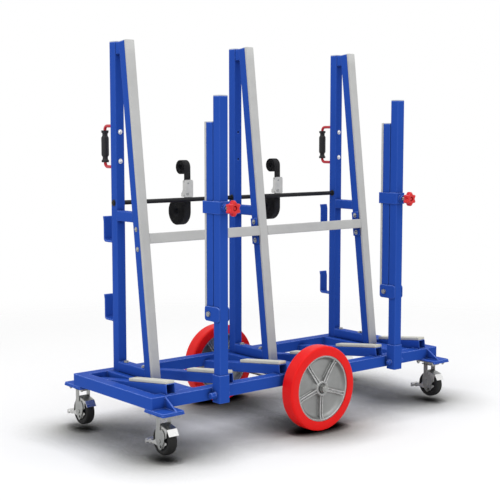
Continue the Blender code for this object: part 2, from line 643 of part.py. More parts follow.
def build_caster(corner, side_x, side_y):
    """Swivel caster: top plate with king pin, fork, wheel and foot brake."""
    swivel = bpy.data.objects.new(f"caster_swivel_{corner}", None)
    place(swivel, (side_x * CASTER_X, side_y * CASTER_Y, 0.0))
    plate_top = MOUNT_PLATE_BOTTOM - SEAT_GAP
    race_top = plate_top - CASTER_PLATE_THICKNESS
    crown_top = race_top - RACE_HEIGHT - SEAT_GAP
    crown_bottom = crown_top - FORK_CROWN_THICKNESS
    pin = KINGPIN_DIAMETER / 2

    outline = rounded(CASTER_PLATE_WIDTH / 2, CASTER_PLATE_LENGTH / 2, MOUNT_PLATE_CORNER)
    plate = flat(f"caster_plate_{corner}", [outline], CASTER_PLATE_THICKNESS)
    place(plate, (0.0, 0.0, (plate_top + race_top) / 2), parent=swivel, material=ZINC)
    race = rod(f"caster_race_{corner}", RACE_DIAMETER / 2, RACE_HEIGHT + WELD_BITE)
    tool(race, (0.0, 0.0, race_top - (RACE_HEIGHT - WELD_BITE) / 2), parent=swivel)
    head_top = crown_bottom - SEAT_GAP
    shaft = rod(f"caster_kingpin_{corner}", pin, race_top - head_top + WELD_BITE, HOLE_STEPS)
    tool(shaft, (0.0, 0.0, (race_top + head_top - WELD_BITE) / 2), parent=swivel)
    head = rod(f"caster_pin_head_{corner}", KINGPIN_HEAD_DIAMETER / 2, KINGPIN_HEAD_HEIGHT, HOLE_STEPS)
    tool(head, (0.0, 0.0, head_top - KINGPIN_HEAD_HEIGHT / 2), parent=swivel)
    combine(plate, [race, shaft, head], "UNION")

    hub = (0.0, -CASTER_TRAIL, CASTER_HUB_HEIGHT)
    half_inner = FORK_INNER_WIDTH / 2
    crown_half = (half_inner + FORK_PLATE, FORK_CROWN_LENGTH / 2)
    outline = rounded(crown_half[0], crown_half[1], MOUNT_PLATE_CORNER)
    hole = circle((0.0, 0.0), pin + SEAT_GAP)
    fork = flat(f"caster_fork_{corner}", [outline, hole], FORK_CROWN_THICKNESS)
    place(fork, (0.0, 0.0, (crown_top + crown_bottom) / 2), parent=swivel, material=ZINC)
    side = [(u * FORK_SIDE_SIZE, v * FORK_SIDE_SIZE) for u, v in FORK_OUTLINE_SHARES]
    side += [(side[-1][0], crown_top - CASTER_HUB_HEIGHT), (side[0][0], crown_top - CASTER_HUB_HEIGHT)]
    joined = []
    for sign in (-1, 1):
        cheek = flat(f"fork_cheek_{corner}_{sign}", [side], FORK_PLATE)
        joined.append(tool(cheek, (sign * (half_inner + FORK_PLATE / 2), hub[1], hub[2]), ACROSS, swivel))
        cap = rod(f"fork_cap_{corner}_{sign}", CASTER_AXLE_HEAD_DIAMETER / 2, CASTER_AXLE_HEAD, HOLE_STEPS)
        reach = half_inner + FORK_PLATE + CASTER_AXLE_HEAD / 2 - WELD_BITE
        joined.append(tool(cap, (sign * reach, hub[1], hub[2]), SPIN_ON_X, swivel))
    axle = rod(f"fork_axle_{corner}", CASTER_AXLE_DIAMETER / 2, FORK_INNER_WIDTH + FORK_PLATE, HOLE_STEPS)
    joined.append(tool(axle, hub, SPIN_ON_X, swivel))
    combine(fork, joined, "UNION")

    radius = CASTER_WHEEL_DIAMETER / 2
    half = CASTER_WHEEL_WIDTH / 2
    bore = CASTER_AXLE_DIAMETER / 2 + SEAT_GAP
    recess = half - CASTER_WHEEL_RECESS
    upper = [
        (bore, recess), (radius - 3 * CASTER_WHEEL_RECESS, recess), (radius - 2 * CASTER_WHEEL_RECESS, half),
        (radius - CASTER_TREAD_CROWN, half), (radius, half - 2 * CASTER_TREAD_CROWN),
    ]
    profile = upper + [(r, -h) for r, h in reversed(upper)]
    wheel = turned(f"caster_wheel_{corner}", profile, CASTER_WHEEL_STEPS)
    place(wheel, hub, SPIN_ON_X, swivel, BLACK_RUBBER)

    build_brake(corner, swivel, hub, radius)


def brake_point(radius, angle):
    """Point round the caster's hub, from an angle above the horizontal on the -Y side."""
    return (-radius * math.cos(math.radians(angle)), radius * math.sin(math.radians(angle)))


def build_brake(corner, swivel, hub, radius):
    inner = radius + BRAKE_TREAD_GAP
    outer = inner + BRAKE_SHEET
    steps = HOLE_STEPS // 2
    spread = [BRAKE_FROM + (BRAKE_TO - BRAKE_FROM) * index / steps for index in range(steps + 1)]
    outline = [brake_point(outer, angle) for angle in spread]
    outline += [brake_point(inner, angle) for angle in reversed(spread)]
    shoe = flat(f"caster_brake_{corner}", [outline], BRAKE_WIDTH)
    place(shoe, hub, ACROSS, swivel, ZINC)

    joined = []
    boss = BRAKE_HUB_DIAMETER / 2
    web = [brake_point((inner + outer) / 2, angle) for angle in BRAKE_WEB_ANGLES]
    web += [(PEDAL_ROOT + BRAKE_SHEET, 2 * BRAKE_SHEET), (PEDAL_ROOT + BRAKE_SHEET, -2 * BRAKE_SHEET)]
    web += arc((0.0, 0.0), boss, -60, -150, 4)
    hole = circle((0.0, 0.0), CASTER_AXLE_DIAMETER / 2 + SEAT_GAP)
    for sign in (-1, 1):
        cheek = flat(f"brake_web_{corner}_{sign}", [web, hole], BRAKE_SHEET)
        joined.append(tool(cheek, (sign * (BRAKE_WIDTH - BRAKE_SHEET) / 2, hub[1], hub[2]), ACROSS, swivel))
    route = []
    for u, v in PEDAL_ROUTE_SHARES:
        route.append((PEDAL_ROOT + u * (PEDAL_REACH - PEDAL_ROOT), -v * PEDAL_DROP))
    outline = [(y, z + BRAKE_SHEET) for y, z in route] + [(y, z - BRAKE_SHEET) for y, z in reversed(route)]
    pedal = flat(f"brake_pedal_{corner}", [outline], PEDAL_WIDTH)
    joined.append(tool(pedal, hub, ACROSS, swivel))
    combine(shoe, joined, "UNION")


def hook_points(bottom):
    """J-shaped storage hook on the back of a post, from its lower weld to its upper one."""
    out = POST_BACK + HOOK_GAP + HOOK_PLATE
    top = bottom + HOOK_HEIGHT
    bend = top - HOOK_FLARE_HEIGHT
    inner_corner = HOOK_CORNER - HOOK_PLATE
    centre = (out - HOOK_CORNER, bottom + HOOK_CORNER)
    points = [(POST_BACK, bottom)]
    points += arc(centre, HOOK_CORNER, -90, 0, 4)
    points += [(out, bend), (out + HOOK_FLARE, top), (out + HOOK_FLARE - HOOK_PLATE, top)]
    points += [(out - HOOK_PLATE, bend)]
    points += list(reversed(arc(centre, inner_corner, -90, 0, 4)))
    points += [(POST_BACK, bottom + HOOK_PLATE)]
    return points


def build_a_frame(side, x):
    """A-frame with an upright post, a leaning leg, a base bar, a strut and a top block."""
    depth = PAD_THICKNESS
    behind = PAD_THICKNESS + TUBE_SIZE
    top_rise = (LEG_TOP - FRAME_TOP) / math.cos(TILT)
    hooks = HOOK_BOTTOMS if side != "middle" else ()
    outline = [(leg_y(A_FRAME_FOOT, depth), A_FRAME_FOOT), (POST_BACK, A_FRAME_FOOT)]
    for bottom in hooks:
        outline += hook_points(bottom)
    outline += [(POST_BACK, POST_TOP), (POST_FRONT, POST_TOP), (POST_FRONT, TOP_BLOCK_TOP)]
    outline += [(leg_y(TOP_BLOCK_TOP, behind), TOP_BLOCK_TOP)]
    outline += [leaning(behind, top_rise), leaning(depth, top_rise)]
    windows = []
    base_top = A_FRAME_FOOT + TUBE_SIZE
    for low, high in ((base_top, STRUT_BOTTOM), (STRUT_BOTTOM + TUBE_SIZE, TOP_BLOCK_BOTTOM)):
        windows.append([
            (leg_y(low, behind), low), (leg_y(high, behind), high), (POST_FRONT, high), (POST_FRONT, low),
        ])
    rod_hole = circle((POST_MIDDLE, ROD_HEIGHT), ROD_DIAMETER / 2 + SEAT_GAP)
    frame = flat(f"a_frame_{side}", [outline] + windows + [rod_hole], TUBE_SIZE)
    place(frame, (x, 0.0, 0.0), ACROSS, material=BLUE)
    if side == "middle":
        holes = []
        for sign in (-1, 1):
            hole = rod(f"handle_hole_{sign}", HANDLE_HOLE_DIAMETER / 2, TUBE_SIZE + 2 * CUT_OVERRUN, HOLE_STEPS)
            spot = (x, POST_MIDDLE, HANDLE_MIDDLE + sign * HANDLE_HOLE_SPAN / 2)
            holes.append(tool(hole, spot, SPIN_ON_Y))
        combine(frame, holes, "DIFFERENCE")

    face_depth = PAD_THICKNESS - SEAT_GAP
    foot = A_FRAME_FOOT
    outline = [
        (leg_y(foot, 0.0), foot), (leg_y(foot, face_depth), foot),
        leaning(face_depth, top_rise), leaning(0.0, top_rise),
    ]
    face = flat(f"a_frame_face_{side}", [outline], TUBE_SIZE)
    place(face, (x, 0.0, 0.0), ACROSS, material=GREY_RUBBER)
    bevelled(face, PAD_EDGE)


def build_cross_bar(side, sign):
    """Bar between two leaning legs, welded to the end plates that bolt to them."""
    x = sign * A_FRAME_PITCH / 2
    clear = A_FRAME_PITCH - TUBE_SIZE - 2 * SEAT_GAP
    half = TUBE_SIZE / 2
    rise = (CROSS_BAR_HEIGHT - FRAME_TOP) / math.cos(TILT)
    y, z = leaning(PAD_THICKNESS + half, rise)
    lean = (-TILT, 0.0, 0.0)
    bar = flat(f"cross_bar_{side}", [rounded(half, half, TUBE_CORNER, TUBE_CORNER_STEPS)], clear - CROSS_BAR_PLATE)
    place(bar, (x, y, z), (math.radians(90), TILT, math.radians(90)), material=BLUE)
    plates = []
    for end in (-1, 1):
        plate = block(f"cross_bar_plate_{side}_{end}", (CROSS_BAR_PLATE, TUBE_SIZE, CROSS_BAR_PLATE_HEIGHT))
        plates.append(tool(plate, (x + end * (clear - CROSS_BAR_PLATE) / 2, y, z), lean))
    combine(bar, plates, "UNION")

    depth = PAD_THICKNESS - SEAT_GAP
    y, z = leaning(depth / 2, rise)
    face = block(f"cross_bar_face_{side}", (clear, depth, TUBE_SIZE))
    place(face, (x, y, z), lean, material=GREY_RUBBER)
    bevelled(face, PAD_EDGE)


def build_strap_rod():
    bar = rod("strap_rod", ROD_DIAMETER / 2, 2 * (A_FRAME_PITCH + TUBE_SIZE / 2 + ROD_END), HOLE_STEPS)
    place(bar, (0.0, POST_MIDDLE, ROD_HEIGHT), SPIN_ON_X, material=BLACK_STEEL)


def build_handle(side, x):
    """Bent handle rod on two feet, with its turned plastic grip."""
    seat = POST_BACK + SEAT_GAP
    top = HANDLE_SPAN / 2
    route = [(seat + WELD_BITE, top)]
    route += list(reversed(arc((HANDLE_REACH + POST_BACK - HANDLE_BEND, top - HANDLE_BEND),
                               HANDLE_BEND, 0, 90, HANDLE_BEND_STEPS)))
    route += [(y, -z) for y, z in reversed(route)]
    curve = bpy.data.curves.new(f"handle_bar_{side}", "CURVE")
    curve.dimensions = "3D"
    curve.bevel_depth = HANDLE_ROD_DIAMETER / 2
    curve.bevel_resolution = 2
    curve.use_fill_caps = True
    spline = curve.splines.new("POLY")
    spline.points.add(len(route) - 1)
    for point, (y, z) in zip(spline.points, route):
        point.co = (0.0, y, z, 1.0)
    bar = bpy.data.objects.new(f"handle_bar_{side}", curve_mesh(f"handle_bar_{side}", curve))
    place(bar, (x, 0.0, HANDLE_MIDDLE), material=RED_ENAMEL)
    feet = []
    for sign in (-1, 1):
        foot = block(f"handle_foot_{side}_{sign}",
                     (HANDLE_FOOT_WIDTH, HANDLE_FOOT_THICKNESS, HANDLE_FOOT_HEIGHT))
        lift = HANDLE_SPAN / 2 + HANDLE_FOOT_OVERHANG - HANDLE_FOOT_HEIGHT / 2
        spot = (x, seat + HANDLE_FOOT_THICKNESS / 2, HANDLE_MIDDLE + sign * lift)
        feet.append(tool(foot, spot))
    combine(bar, feet, "UNION")

    radii = {"end": GRIP_END_DIAMETER / 2, "neck": GRIP_NECK_DIAMETER / 2, "barrel": GRIP_DIAMETER / 2}
    bore = HANDLE_ROD_DIAMETER / 2 + SEAT_GAP
    profile = [(bore, GRIP_LENGTH / 2)]
    profile += [(radii[zone], share * GRIP_LENGTH) for share, zone in GRIP_PROFILE_SHARES]
    profile += [(bore, -GRIP_LENGTH / 2)]
    grip = turned(f"handle_grip_{side}", profile, HOLE_STEPS)
    place(grip, (x, POST_BACK + HANDLE_REACH, HANDLE_MIDDLE), material=BLACK_PLASTIC)


def blind_tube(name, bottom, top):
    """Upright square tube and the tool that hollows it from below, each with its middle height."""
    half = TUBE_SIZE / 2
    bore = half - TUBE_WALL
    tube = flat(name, [rounded(half, half, TUBE_CORNER, TUBE_CORNER_STEPS)], top - bottom)
    bore_top = top - CLAMP_CAP
    bore_bottom = bottom - CUT_OVERRUN
    hollow = flat(name + "_bore", [rounded(bore, bore, TUBE_CORNER / 2, TUBE_CORNER_STEPS)], bore_top - bore_bottom)
    return tube, (top + bottom) / 2, hollow, (bore_top + bore_bottom) / 2


def build_clamp(side, sign):
    """Clamp post in its socket, with the arm, its pivot bolt, the screw and the star knob."""
    x = sign * CLAMP_SPREAD
    half = TUBE_SIZE / 2
    post_middle = (CLAMP_POST_INNER + CLAMP_POST_OUTER) / 2
    post, middle, hollow, hollow_z = blind_tube(f"clamp_post_{side}", CLAMP_POST_BOTTOM, CLAMP_POST_TOP)
    place(post, (x, post_middle, middle), material=BLUE)
    joined = []
    guide = u_bracket(f"arm_guide_{side}", GUIDE_PLATE, ARM_INNER + GUIDE_PAST_ARM,
                      CLAMP_POST_OUTER + WELD_BITE / 2, GUIDE_HEIGHT)
    joined.append(tool(guide, (x, 0.0, SCREW_HEIGHT)))
    boss = rod(f"screw_boss_{side}", BOSS_DIAMETER / 2, BOSS_LENGTH + WELD_BITE)
    joined.append(tool(boss, (x, BOSS_FACE + (BOSS_LENGTH + WELD_BITE) / 2, SCREW_HEIGHT), SPIN_ON_Y))
    lug_back = ARM_INNER + LUG_CORNER / 2
    lug_z = ARM_PIVOT_HEIGHT + LUG_ABOVE_PIVOT - LUG_HEIGHT / 2
    lug_inner = half + LUG_SIDE_GAP
    for end in (-1, 1):
        outline = rounded((lug_back - CLAMP_POST_OUTER) / 2, LUG_HEIGHT / 2, LUG_CORNER)
        lug = flat(f"lug_{side}_{end}", [outline], LUG_PLATE)
        spot = (x + end * (lug_inner + LUG_PLATE / 2), (lug_back + CLAMP_POST_OUTER) / 2, lug_z)
        joined.append(tool(lug, spot, ACROSS))
        weld = block(f"lug_weld_{side}_{end}",
                     (LUG_SIDE_GAP + 2 * WELD_BITE, TUBE_SIZE - 4 * WELD_BITE, LUG_HEIGHT - 2 * LUG_CORNER))
        joined.append(tool(weld, (x + end * (half + LUG_SIDE_GAP / 2), post_middle, lug_z)))
    combine(post, joined, "UNION")
    bore = rod(f"screw_bore_{side}", SCREW_DIAMETER / 2 + SEAT_GAP, -BOSS_FACE + CLAMP_POST_INNER + 2 * CUT_OVERRUN)
    pivot_bore = rod(
        f"pivot_bore_{side}", ARM_PIVOT_DIAMETER / 2 + SEAT_GAP, 2 * (lug_inner + LUG_PLATE + CUT_OVERRUN), HOLE_STEPS
    )
    combine(post, [
        tool(hollow, (x, post_middle, hollow_z)),
        tool(bore, (x, (BOSS_FACE + CLAMP_POST_INNER) / 2, SCREW_HEIGHT), SPIN_ON_Y),
        tool(pivot_bore, (x, ARM_MIDDLE, ARM_PIVOT_HEIGHT), SPIN_ON_X),
    ], "DIFFERENCE")

    pivot = bpy.data.objects.new(f"arm_pivot_{side}", None)
    place(pivot, (x, ARM_MIDDLE, ARM_PIVOT_HEIGHT))
    bottom = -ARM_BELOW_PIVOT
    top = ARM_TOP - ARM_PIVOT_HEIGHT
    arm, middle, hollow, hollow_z = blind_tube(f"clamp_arm_{side}", bottom, top)
    place(arm, (0.0, 0.0, middle), parent=pivot, material=BLUE)
    arm_bore = rod(f"arm_bore_{side}", ARM_PIVOT_DIAMETER / 2 + SEAT_GAP, TUBE_SIZE + 2 * CUT_OVERRUN, HOLE_STEPS)
    combine(arm, [
        tool(hollow, (0.0, 0.0, hollow_z), parent=pivot),
        tool(arm_bore, (0.0, 0.0, 0.0), SPIN_ON_X, pivot),
    ], "DIFFERENCE")
    face_bottom = bottom + ARM_FACE_ABOVE_FOOT
    face = block(f"clamp_arm_face_{side}", (TUBE_SIZE, PAD_THICKNESS - SEAT_GAP, top - face_bottom))
    face_y = half + (PAD_THICKNESS + SEAT_GAP) / 2
    place(face, (0.0, face_y, (top + face_bottom) / 2), parent=pivot, material=GREY_RUBBER)
    bevelled(face, PAD_EDGE)

    grip = lug_inner + LUG_PLATE + SEAT_GAP
    bolt = rod(f"arm_pivot_bolt_{side}", ARM_PIVOT_DIAMETER / 2, 2 * (grip + ARM_PIVOT_HEAD), HOLE_STEPS)
    place(bolt, (x, ARM_MIDDLE, ARM_PIVOT_HEIGHT), SPIN_ON_X, material=ZINC)
    heads = []
    for end in (-1, 1):
        head = rod(f"pivot_head_{side}_{end}", ARM_PIVOT_HEAD_DIAMETER / 2, ARM_PIVOT_HEAD - WELD_BITE, 6)
        reach = grip + (ARM_PIVOT_HEAD - WELD_BITE) / 2
        heads.append(tool(head, (x + end * reach, ARM_MIDDLE, ARM_PIVOT_HEIGHT), SPIN_ON_X))
    combine(bolt, heads, "UNION")

    tip = ARM_OUTER - SEAT_GAP
    bore_end = KNOB_BACK - KNOB_BORE_DEPTH
    screw = rod(f"clamp_screw_{side}", SCREW_DIAMETER / 2, tip - bore_end - SEAT_GAP)
    place(screw, (x, (tip + bore_end + SEAT_GAP) / 2, SCREW_HEIGHT), SPIN_ON_Y, material=ZINC)

    steps = KNOB_LOBE_POINTS * KNOB_LOBES
    star = []
    for index in range(steps):
        angle = math.radians(360 * index / steps)
        radius = KNOB_DIAMETER / 2 - KNOB_LOBE_DEPTH * (1 - math.cos(KNOB_LOBES * angle)) / 2
        star.append((radius * math.sin(angle), radius * math.cos(angle)))
    knob = flat(f"clamp_knob_{side}", [star], KNOB_THICKNESS)
    place(knob, (x, (KNOB_BACK + KNOB_FACE) / 2, SCREW_HEIGHT), ALONG, material=RED_PLASTIC)
    bevelled(knob, KNOB_EDGE)
    bore = rod(f"knob_bore_{side}", SCREW_DIAMETER / 2 + SEAT_GAP, KNOB_BORE_DEPTH + CUT_OVERRUN)
    recess = rod(f"knob_recess_{side}", KNOB_RECESS_DIAMETER / 2, KNOB_RECESS_DEPTH + CUT_OVERRUN)
    combine(knob, [
        tool(bore, (x, KNOB_BACK - (KNOB_BORE_DEPTH - CUT_OVERRUN) / 2, SCREW_HEIGHT), SPIN_ON_Y),
        tool(recess, (x, KNOB_FACE + (KNOB_RECESS_DEPTH - CUT_OVERRUN) / 2, SCREW_HEIGHT), SPIN_ON_Y),
    ], "DIFFERENCE")


def roll_points(centre, radius, turns, direction):
    """Centre line of one flat roll, from its outer turn at the strap plane to its core."""
    points = []
    for index in range(turns * STRAP_LOOP_POINTS + 1):
        turn = index / STRAP_LOOP_POINTS
        angle = math.radians(180) + direction * math.radians(360) * turn
        reach = radius - STRAP_PITCH * turn
        points.append((centre[0] + reach * math.cos(angle), centre[1] + reach * math.sin(angle)))
    return points


def strap_route():
    """Whole strap as one winding: out of the lower roll, up its plane and into the upper roll."""
    lower = LOWER_ROLL_DIAMETER / 2 - STRAP_THICKNESS / 2
    upper = UPPER_ROLL_DIAMETER / 2 - STRAP_THICKNESS / 2
    route = roll_points((STRAP_PLANE + lower, LOWER_ROLL_HEIGHT), lower, LOWER_ROLL_TURNS, 1)
    route.reverse()
    route += roll_points((STRAP_PLANE + upper, UPPER_ROLL_HEIGHT), upper, UPPER_ROLL_TURNS, -1)
    return route


def least_gap(route):
    """Least clear gap between turns of the winding, measured between its points."""
    gap = math.inf
    for first, (y, z) in enumerate(route):
        for y_other, z_other in route[first + STRAP_LOOP_POINTS // 2:]:
            gap = min(gap, math.hypot(y - y_other, z - z_other))
    return gap - STRAP_THICKNESS


def build_strap(side, sign):
    """Tie-down strap rolled up at both ends, and the buckle that sits on the rod."""
    x = sign * STRAP_SPREAD
    route = strap_route()
    mesh = bpy.data.meshes.new(f"strap_webbing_{side}")
    work = bmesh.new()
    line = [work.verts.new((-STRAP_WIDTH / 2, y, z)) for y, z in route]
    edges = [work.edges.new(pair) for pair in zip(line, line[1:])]
    grown = bmesh.ops.extrude_edge_only(work, edges=edges)["geom"]
    moved = [item for item in grown if isinstance(item, bmesh.types.BMVert)]
    bmesh.ops.translate(work, vec=Vector((STRAP_WIDTH, 0.0, 0.0)), verts=moved)
    work.to_mesh(mesh)
    work.free()
    strap = bpy.data.objects.new(f"strap_webbing_{side}", mesh)
    place(strap, (x, 0.0, 0.0), material=BLACK_WEB)
    wall = strap.modifiers.new("webbing", "SOLIDIFY")
    wall.thickness = STRAP_THICKNESS
    wall.offset = 0.0
    gap = least_gap(route)
    print(f"strap {side}: least gap between turns {gap:.5f} m")
    if gap < STRAP_MIN_GAP:
        print(f"strap {side}: turns are closer than {STRAP_MIN_GAP} m")

    plate = block(f"strap_buckle_{side}", (BUCKLE_WIDTH, BUCKLE_PLATE, BUCKLE_HEIGHT))
    place(plate, (x, POST_MIDDLE, (BUCKLE_TOP + BUCKLE_BOTTOM) / 2), material=ZINC)
    low = BUCKLE_BOTTOM + BUCKLE_PLATE / 2
    high = BUCKLE_TOP - BUCKLE_PLATE / 2
    waist = BUCKLE_BOTTOM + BUCKLE_WAIST_SHARE * BUCKLE_HEIGHT
    outline = [
        (POST_MIDDLE, low), (POST_MIDDLE, high), (POST_MIDDLE + BUCKLE_DEPTH_TOP, high),
        (POST_MIDDLE + BUCKLE_DEPTH_TOP, waist), (POST_MIDDLE + BUCKLE_DEPTH_BOTTOM, (waist + low) / 2),
        (POST_MIDDLE + BUCKLE_DEPTH_BOTTOM, low),
    ]
    joined = []
    for end in (-1, 1):
        cheek = flat(f"buckle_cheek_{side}_{end}", [outline], BUCKLE_PLATE)
        joined.append(tool(cheek, (x + end * (BUCKLE_WIDTH / 2 - BUCKLE_PLATE), 0.0, 0.0), ACROSS))
    pin_y = STRAP_PLANE - STRAP_THICKNESS / 2 - SEAT_GAP - BUCKLE_PIN_DIAMETER / 2
    for end, z in (("low", BUCKLE_BOTTOM + BUCKLE_PIN_DIAMETER), ("high", BUCKLE_TOP - BUCKLE_PIN_DIAMETER)):
        pin = rod(f"buckle_pin_{side}_{end}", BUCKLE_PIN_DIAMETER / 2, BUCKLE_WIDTH - 2 * BUCKLE_PLATE, HOLE_STEPS)
        joined.append(tool(pin, (x, pin_y, z), SPIN_ON_X))
    combine(plate, joined, "UNION")


build_base_frame()
build_rest_pads()
build_axle()
for side_name, side_sign in (("front", -1), ("back", 1)):
    build_centre_wheel(side_name, side_sign)
for corner_name, (corner_x, corner_y) in CORNERS.items():
    build_caster(corner_name, corner_x, corner_y)
for frame_side, frame_x in A_FRAME_CENTRES.items():
    build_a_frame(frame_side, frame_x)
build_strap_rod()
for side_name, side_sign in SIDES.items():
    build_cross_bar(side_name, side_sign)
    build_handle(side_name, side_sign * A_FRAME_PITCH)
    build_clamp(side_name, side_sign)
    build_strap(side_name, side_sign)
bpy.context.scene.collection.children.link(PARTS)
bpy.context.scene.collection.children.link(CUTTERS)
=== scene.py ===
"""Looks of the slab buggy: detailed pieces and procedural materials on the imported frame.

X runs along the buggy, -Y is the side with the two clamp posts, Z is up. Metres.
"""

import math

import bmesh
import bpy
from mathutils import Matrix, Vector


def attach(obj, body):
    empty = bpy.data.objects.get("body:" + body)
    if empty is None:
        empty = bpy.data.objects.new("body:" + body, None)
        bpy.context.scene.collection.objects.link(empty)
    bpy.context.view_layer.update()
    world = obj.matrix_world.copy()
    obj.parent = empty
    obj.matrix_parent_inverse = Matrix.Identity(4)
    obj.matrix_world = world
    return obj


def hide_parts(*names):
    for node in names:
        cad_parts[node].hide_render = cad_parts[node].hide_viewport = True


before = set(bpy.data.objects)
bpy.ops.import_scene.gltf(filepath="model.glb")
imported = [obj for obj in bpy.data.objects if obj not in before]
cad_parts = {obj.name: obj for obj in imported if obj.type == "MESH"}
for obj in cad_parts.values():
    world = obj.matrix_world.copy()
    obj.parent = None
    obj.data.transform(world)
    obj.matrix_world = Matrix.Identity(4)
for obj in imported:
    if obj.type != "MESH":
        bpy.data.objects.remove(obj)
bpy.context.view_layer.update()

# Sizes of the frame, as in the model
SHIFT = 0.0005
GAP = 0.0003
TUBE = 0.035
HALF = TUBE / 2
RAIL = 0.040
WALL = 0.0025
PAD = 0.010
TILT = math.radians(7.0)
FRAME_END = 0.680
FRAME_SIDE = 0.240
RAIL_INNER = 0.200
FRAME_BOTTOM = 0.166
FRAME_TOP = 0.206
AXLE_Z = 0.150
WHEEL_Y = 0.285
POST_BACK = 0.198
POST_FRONT = 0.163
POST_MIDDLE = 0.1805
POST_TOP = 1.3515
PITCH = 0.5245
FRAME_XS = (-PITCH, 0.0, PITCH)
BLOCK_TOP = 1.3505
FOOT_GAP = 0.0235 + math.tan(TILT) * (BLOCK_TOP - FRAME_TOP)
LEG_FOOT_Y = POST_FRONT - FOOT_GAP - (TUBE + PAD) / math.cos(TILT)
STRUT_Z = 0.7385
REST_START = (-0.235, FRAME_TOP)
REST_RUN = 0.433 / math.cos(TILT)
REST_XS = [0.240 * (index - 2.5) for index in range(6)]
CASTER_X = 0.635
CASTER_Y = 0.2475
HUB_Z = 0.066
CLAMP_X = 0.415
CLAMP_OUTER = -0.277
CLAMP_INNER = -0.242
ARM_Y = -0.2225
ARM_FACE = -0.205
SCREW_Z = 0.801
PIVOT_Z = 0.449
ROD_Z = 0.800
ROD_RADIUS = 0.008
HANDLE_Z = 0.9952
HANDLE_BOLT = 0.0505
SIDES = {"left": -1, "right": 1}
CORNERS = {"front_left": (-1, -1), "front_right": (1, -1), "back_left": (-1, 1), "back_right": (1, 1)}
X = Vector((1, 0, 0))
Y = Vector((0, 1, 0))
Z = Vector((0, 0, 1))
LEAN = Vector((0.0, math.sin(TILT), math.cos(TILT)))
BACK = Vector((0.0, math.cos(TILT), -math.sin(TILT)))


def at(x, y, z):
    """Point of the frame from sizes counted from the chassis centre."""
    return Vector((x, y + SHIFT, z))


def leg_y(height, depth):
    """Y of a plane of the leaning leg at a height, counted back from the slab face."""
    return LEG_FOOT_Y + depth / math.cos(TILT) + math.tan(TILT) * (height - FRAME_TOP)


def leaning(x, depth, rise):
    """Point behind the slab face, up along the lean."""
    y = LEG_FOOT_Y + depth * math.cos(TILT) + rise * math.sin(TILT)
    return at(x, y, FRAME_TOP - depth * math.sin(TILT) + rise * math.cos(TILT))


def resting(x, along, up):
    """Point on a slab rest, along its slope and square to it."""
    y = REST_START[0] + along * math.cos(TILT) + up * math.sin(TILT)
    return at(x, y, REST_START[1] - along * math.sin(TILT) + up * math.cos(TILT))


# Materials

MIX_SHARE, MIX_FIRST, MIX_SECOND, MIX_RESULT = 0, 6, 7, 2  # sockets of a Mix node for colours


def connect(node, inputs):
    """Give inputs of a node a value each, or a link from another node's output."""
    for socket, value in inputs.items():
        if isinstance(value, bpy.types.NodeSocket):
            node.id_data.links.new(value, node.inputs[socket])
        else:
            node.inputs[socket].default_value = value


def adder(owner, empty=False):
    """Function that adds a node to a material or world and returns one of its outputs."""
    owner.use_nodes = True
    if empty:
        owner.node_tree.nodes.clear()

    def add(kind, output, inputs=None, **settings):
        node = owner.node_tree.nodes.new("ShaderNode" + kind)
        for name, value in settings.items():
            setattr(node, name, value)
        connect(node, inputs or {})
        return node.outputs[output] if output else node

    return add


def surface(name, colour, rough, metal=0.0, slot=None, mottle=(6.0, 0.05), grain=(900.0, 0.10, 0.0001),
            spread=(40.0, 0.05), edge=None, side_edge=1.0, corner_shade=None, coat=0.0, sheen=0.0, specular=0.3):
    """Procedural finish for a material slot, which has the same name unless one is given.

    mottle is the scale and share of uneven colour, grain the scale, strength and height of fine relief, and
    spread the scale and range of uneven gloss. edge is the colour, share and width of edge wear and a painted
    highlight, and side_edge what the painted highlight keeps on an edge that doesn't face up. crevice is the
    reach and share of painted shade in corners, from ambient occlusion.
    """
    material = bpy.data.materials.new(name)
    material["slot"] = slot or name
    add = adder(material)
    place = add("TexCoord", "Object")

    def noise(scale, detail):
        return add("TexNoise", "Fac", {"Scale": scale, "Detail": detail, "Vector": place})

    def remap(value, low, high, start=0.3, end=0.7):
        return add("MapRange", "Result", {"From Min": start, "From Max": end, "To Min": low, "To Max": high,
                                          "Value": value})

    def product(first, second):
        return add("Math", "Value", {0: first, 1: second}, operation="MULTIPLY")

    def blend(share, first, second):
        inputs = {MIX_SHARE: share, MIX_FIRST: first, MIX_SECOND: (*second, 1.0)}
        return add("Mix", MIX_RESULT, inputs, data_type="RGBA")

    tone = remap(noise(mottle[0], 3.0), 1.0 - mottle[1], 1.0 + mottle[1])
    result = add("HueSaturation", "Color", {"Color": (*colour, 1.0), "Value": tone})
    # Edges: partly wear broken up by noise, partly a painted highlight that is strongest on edges facing up.
    if edge:
        wear_highlight_colour, most, width = edge
        normal = add("Bevel", "Normal", {"Radius": width}, samples=4)
        flatness = add("VectorMath", "Value", {0: normal, 1: add("NewGeometry", "Normal")},
                       operation="DOT_PRODUCT")
        wear_highlight_mask = product(remap(flatness, 0.0, 1.0, 0.995, 0.90), remap(noise(90.0, 4.0), most * 0.4, most))
        upward = add("SeparateXYZ", "Z", {"Vector": normal})
        result = blend(product(wear_highlight_mask, remap(upward, side_edge, 1.0, 0.1, 0.5)), result, wear_highlight_colour)
    # Painted shade: the colour darkens in corners that ambient occlusion finds.
    if corner_shade:
        reach, most = corner_shade
        occlusion = add("AmbientOcclusion", "AO", {"Distance": reach}, samples=6)
        result = blend(remap(occlusion, most, 0.0, 0.25, 0.80), result, [0.12 * value for value in colour])
    scale, strength, height = grain
    relief = add("Bump", "Normal", {"Strength": strength, "Distance": height, "Height": noise(scale, 3.0)})
    gloss = remap(noise(spread[0], 4.0), rough - spread[1], rough + spread[1])
    connect(material.node_tree.nodes["Principled BSDF"], {
        "Base Color": result, "Metallic": metal, "Roughness": gloss, "Specular IOR Level": specular,
        "Coat Weight": coat, "Coat Roughness": 0.15, "Sheen Weight": sheen, "Normal": relief})
    return material
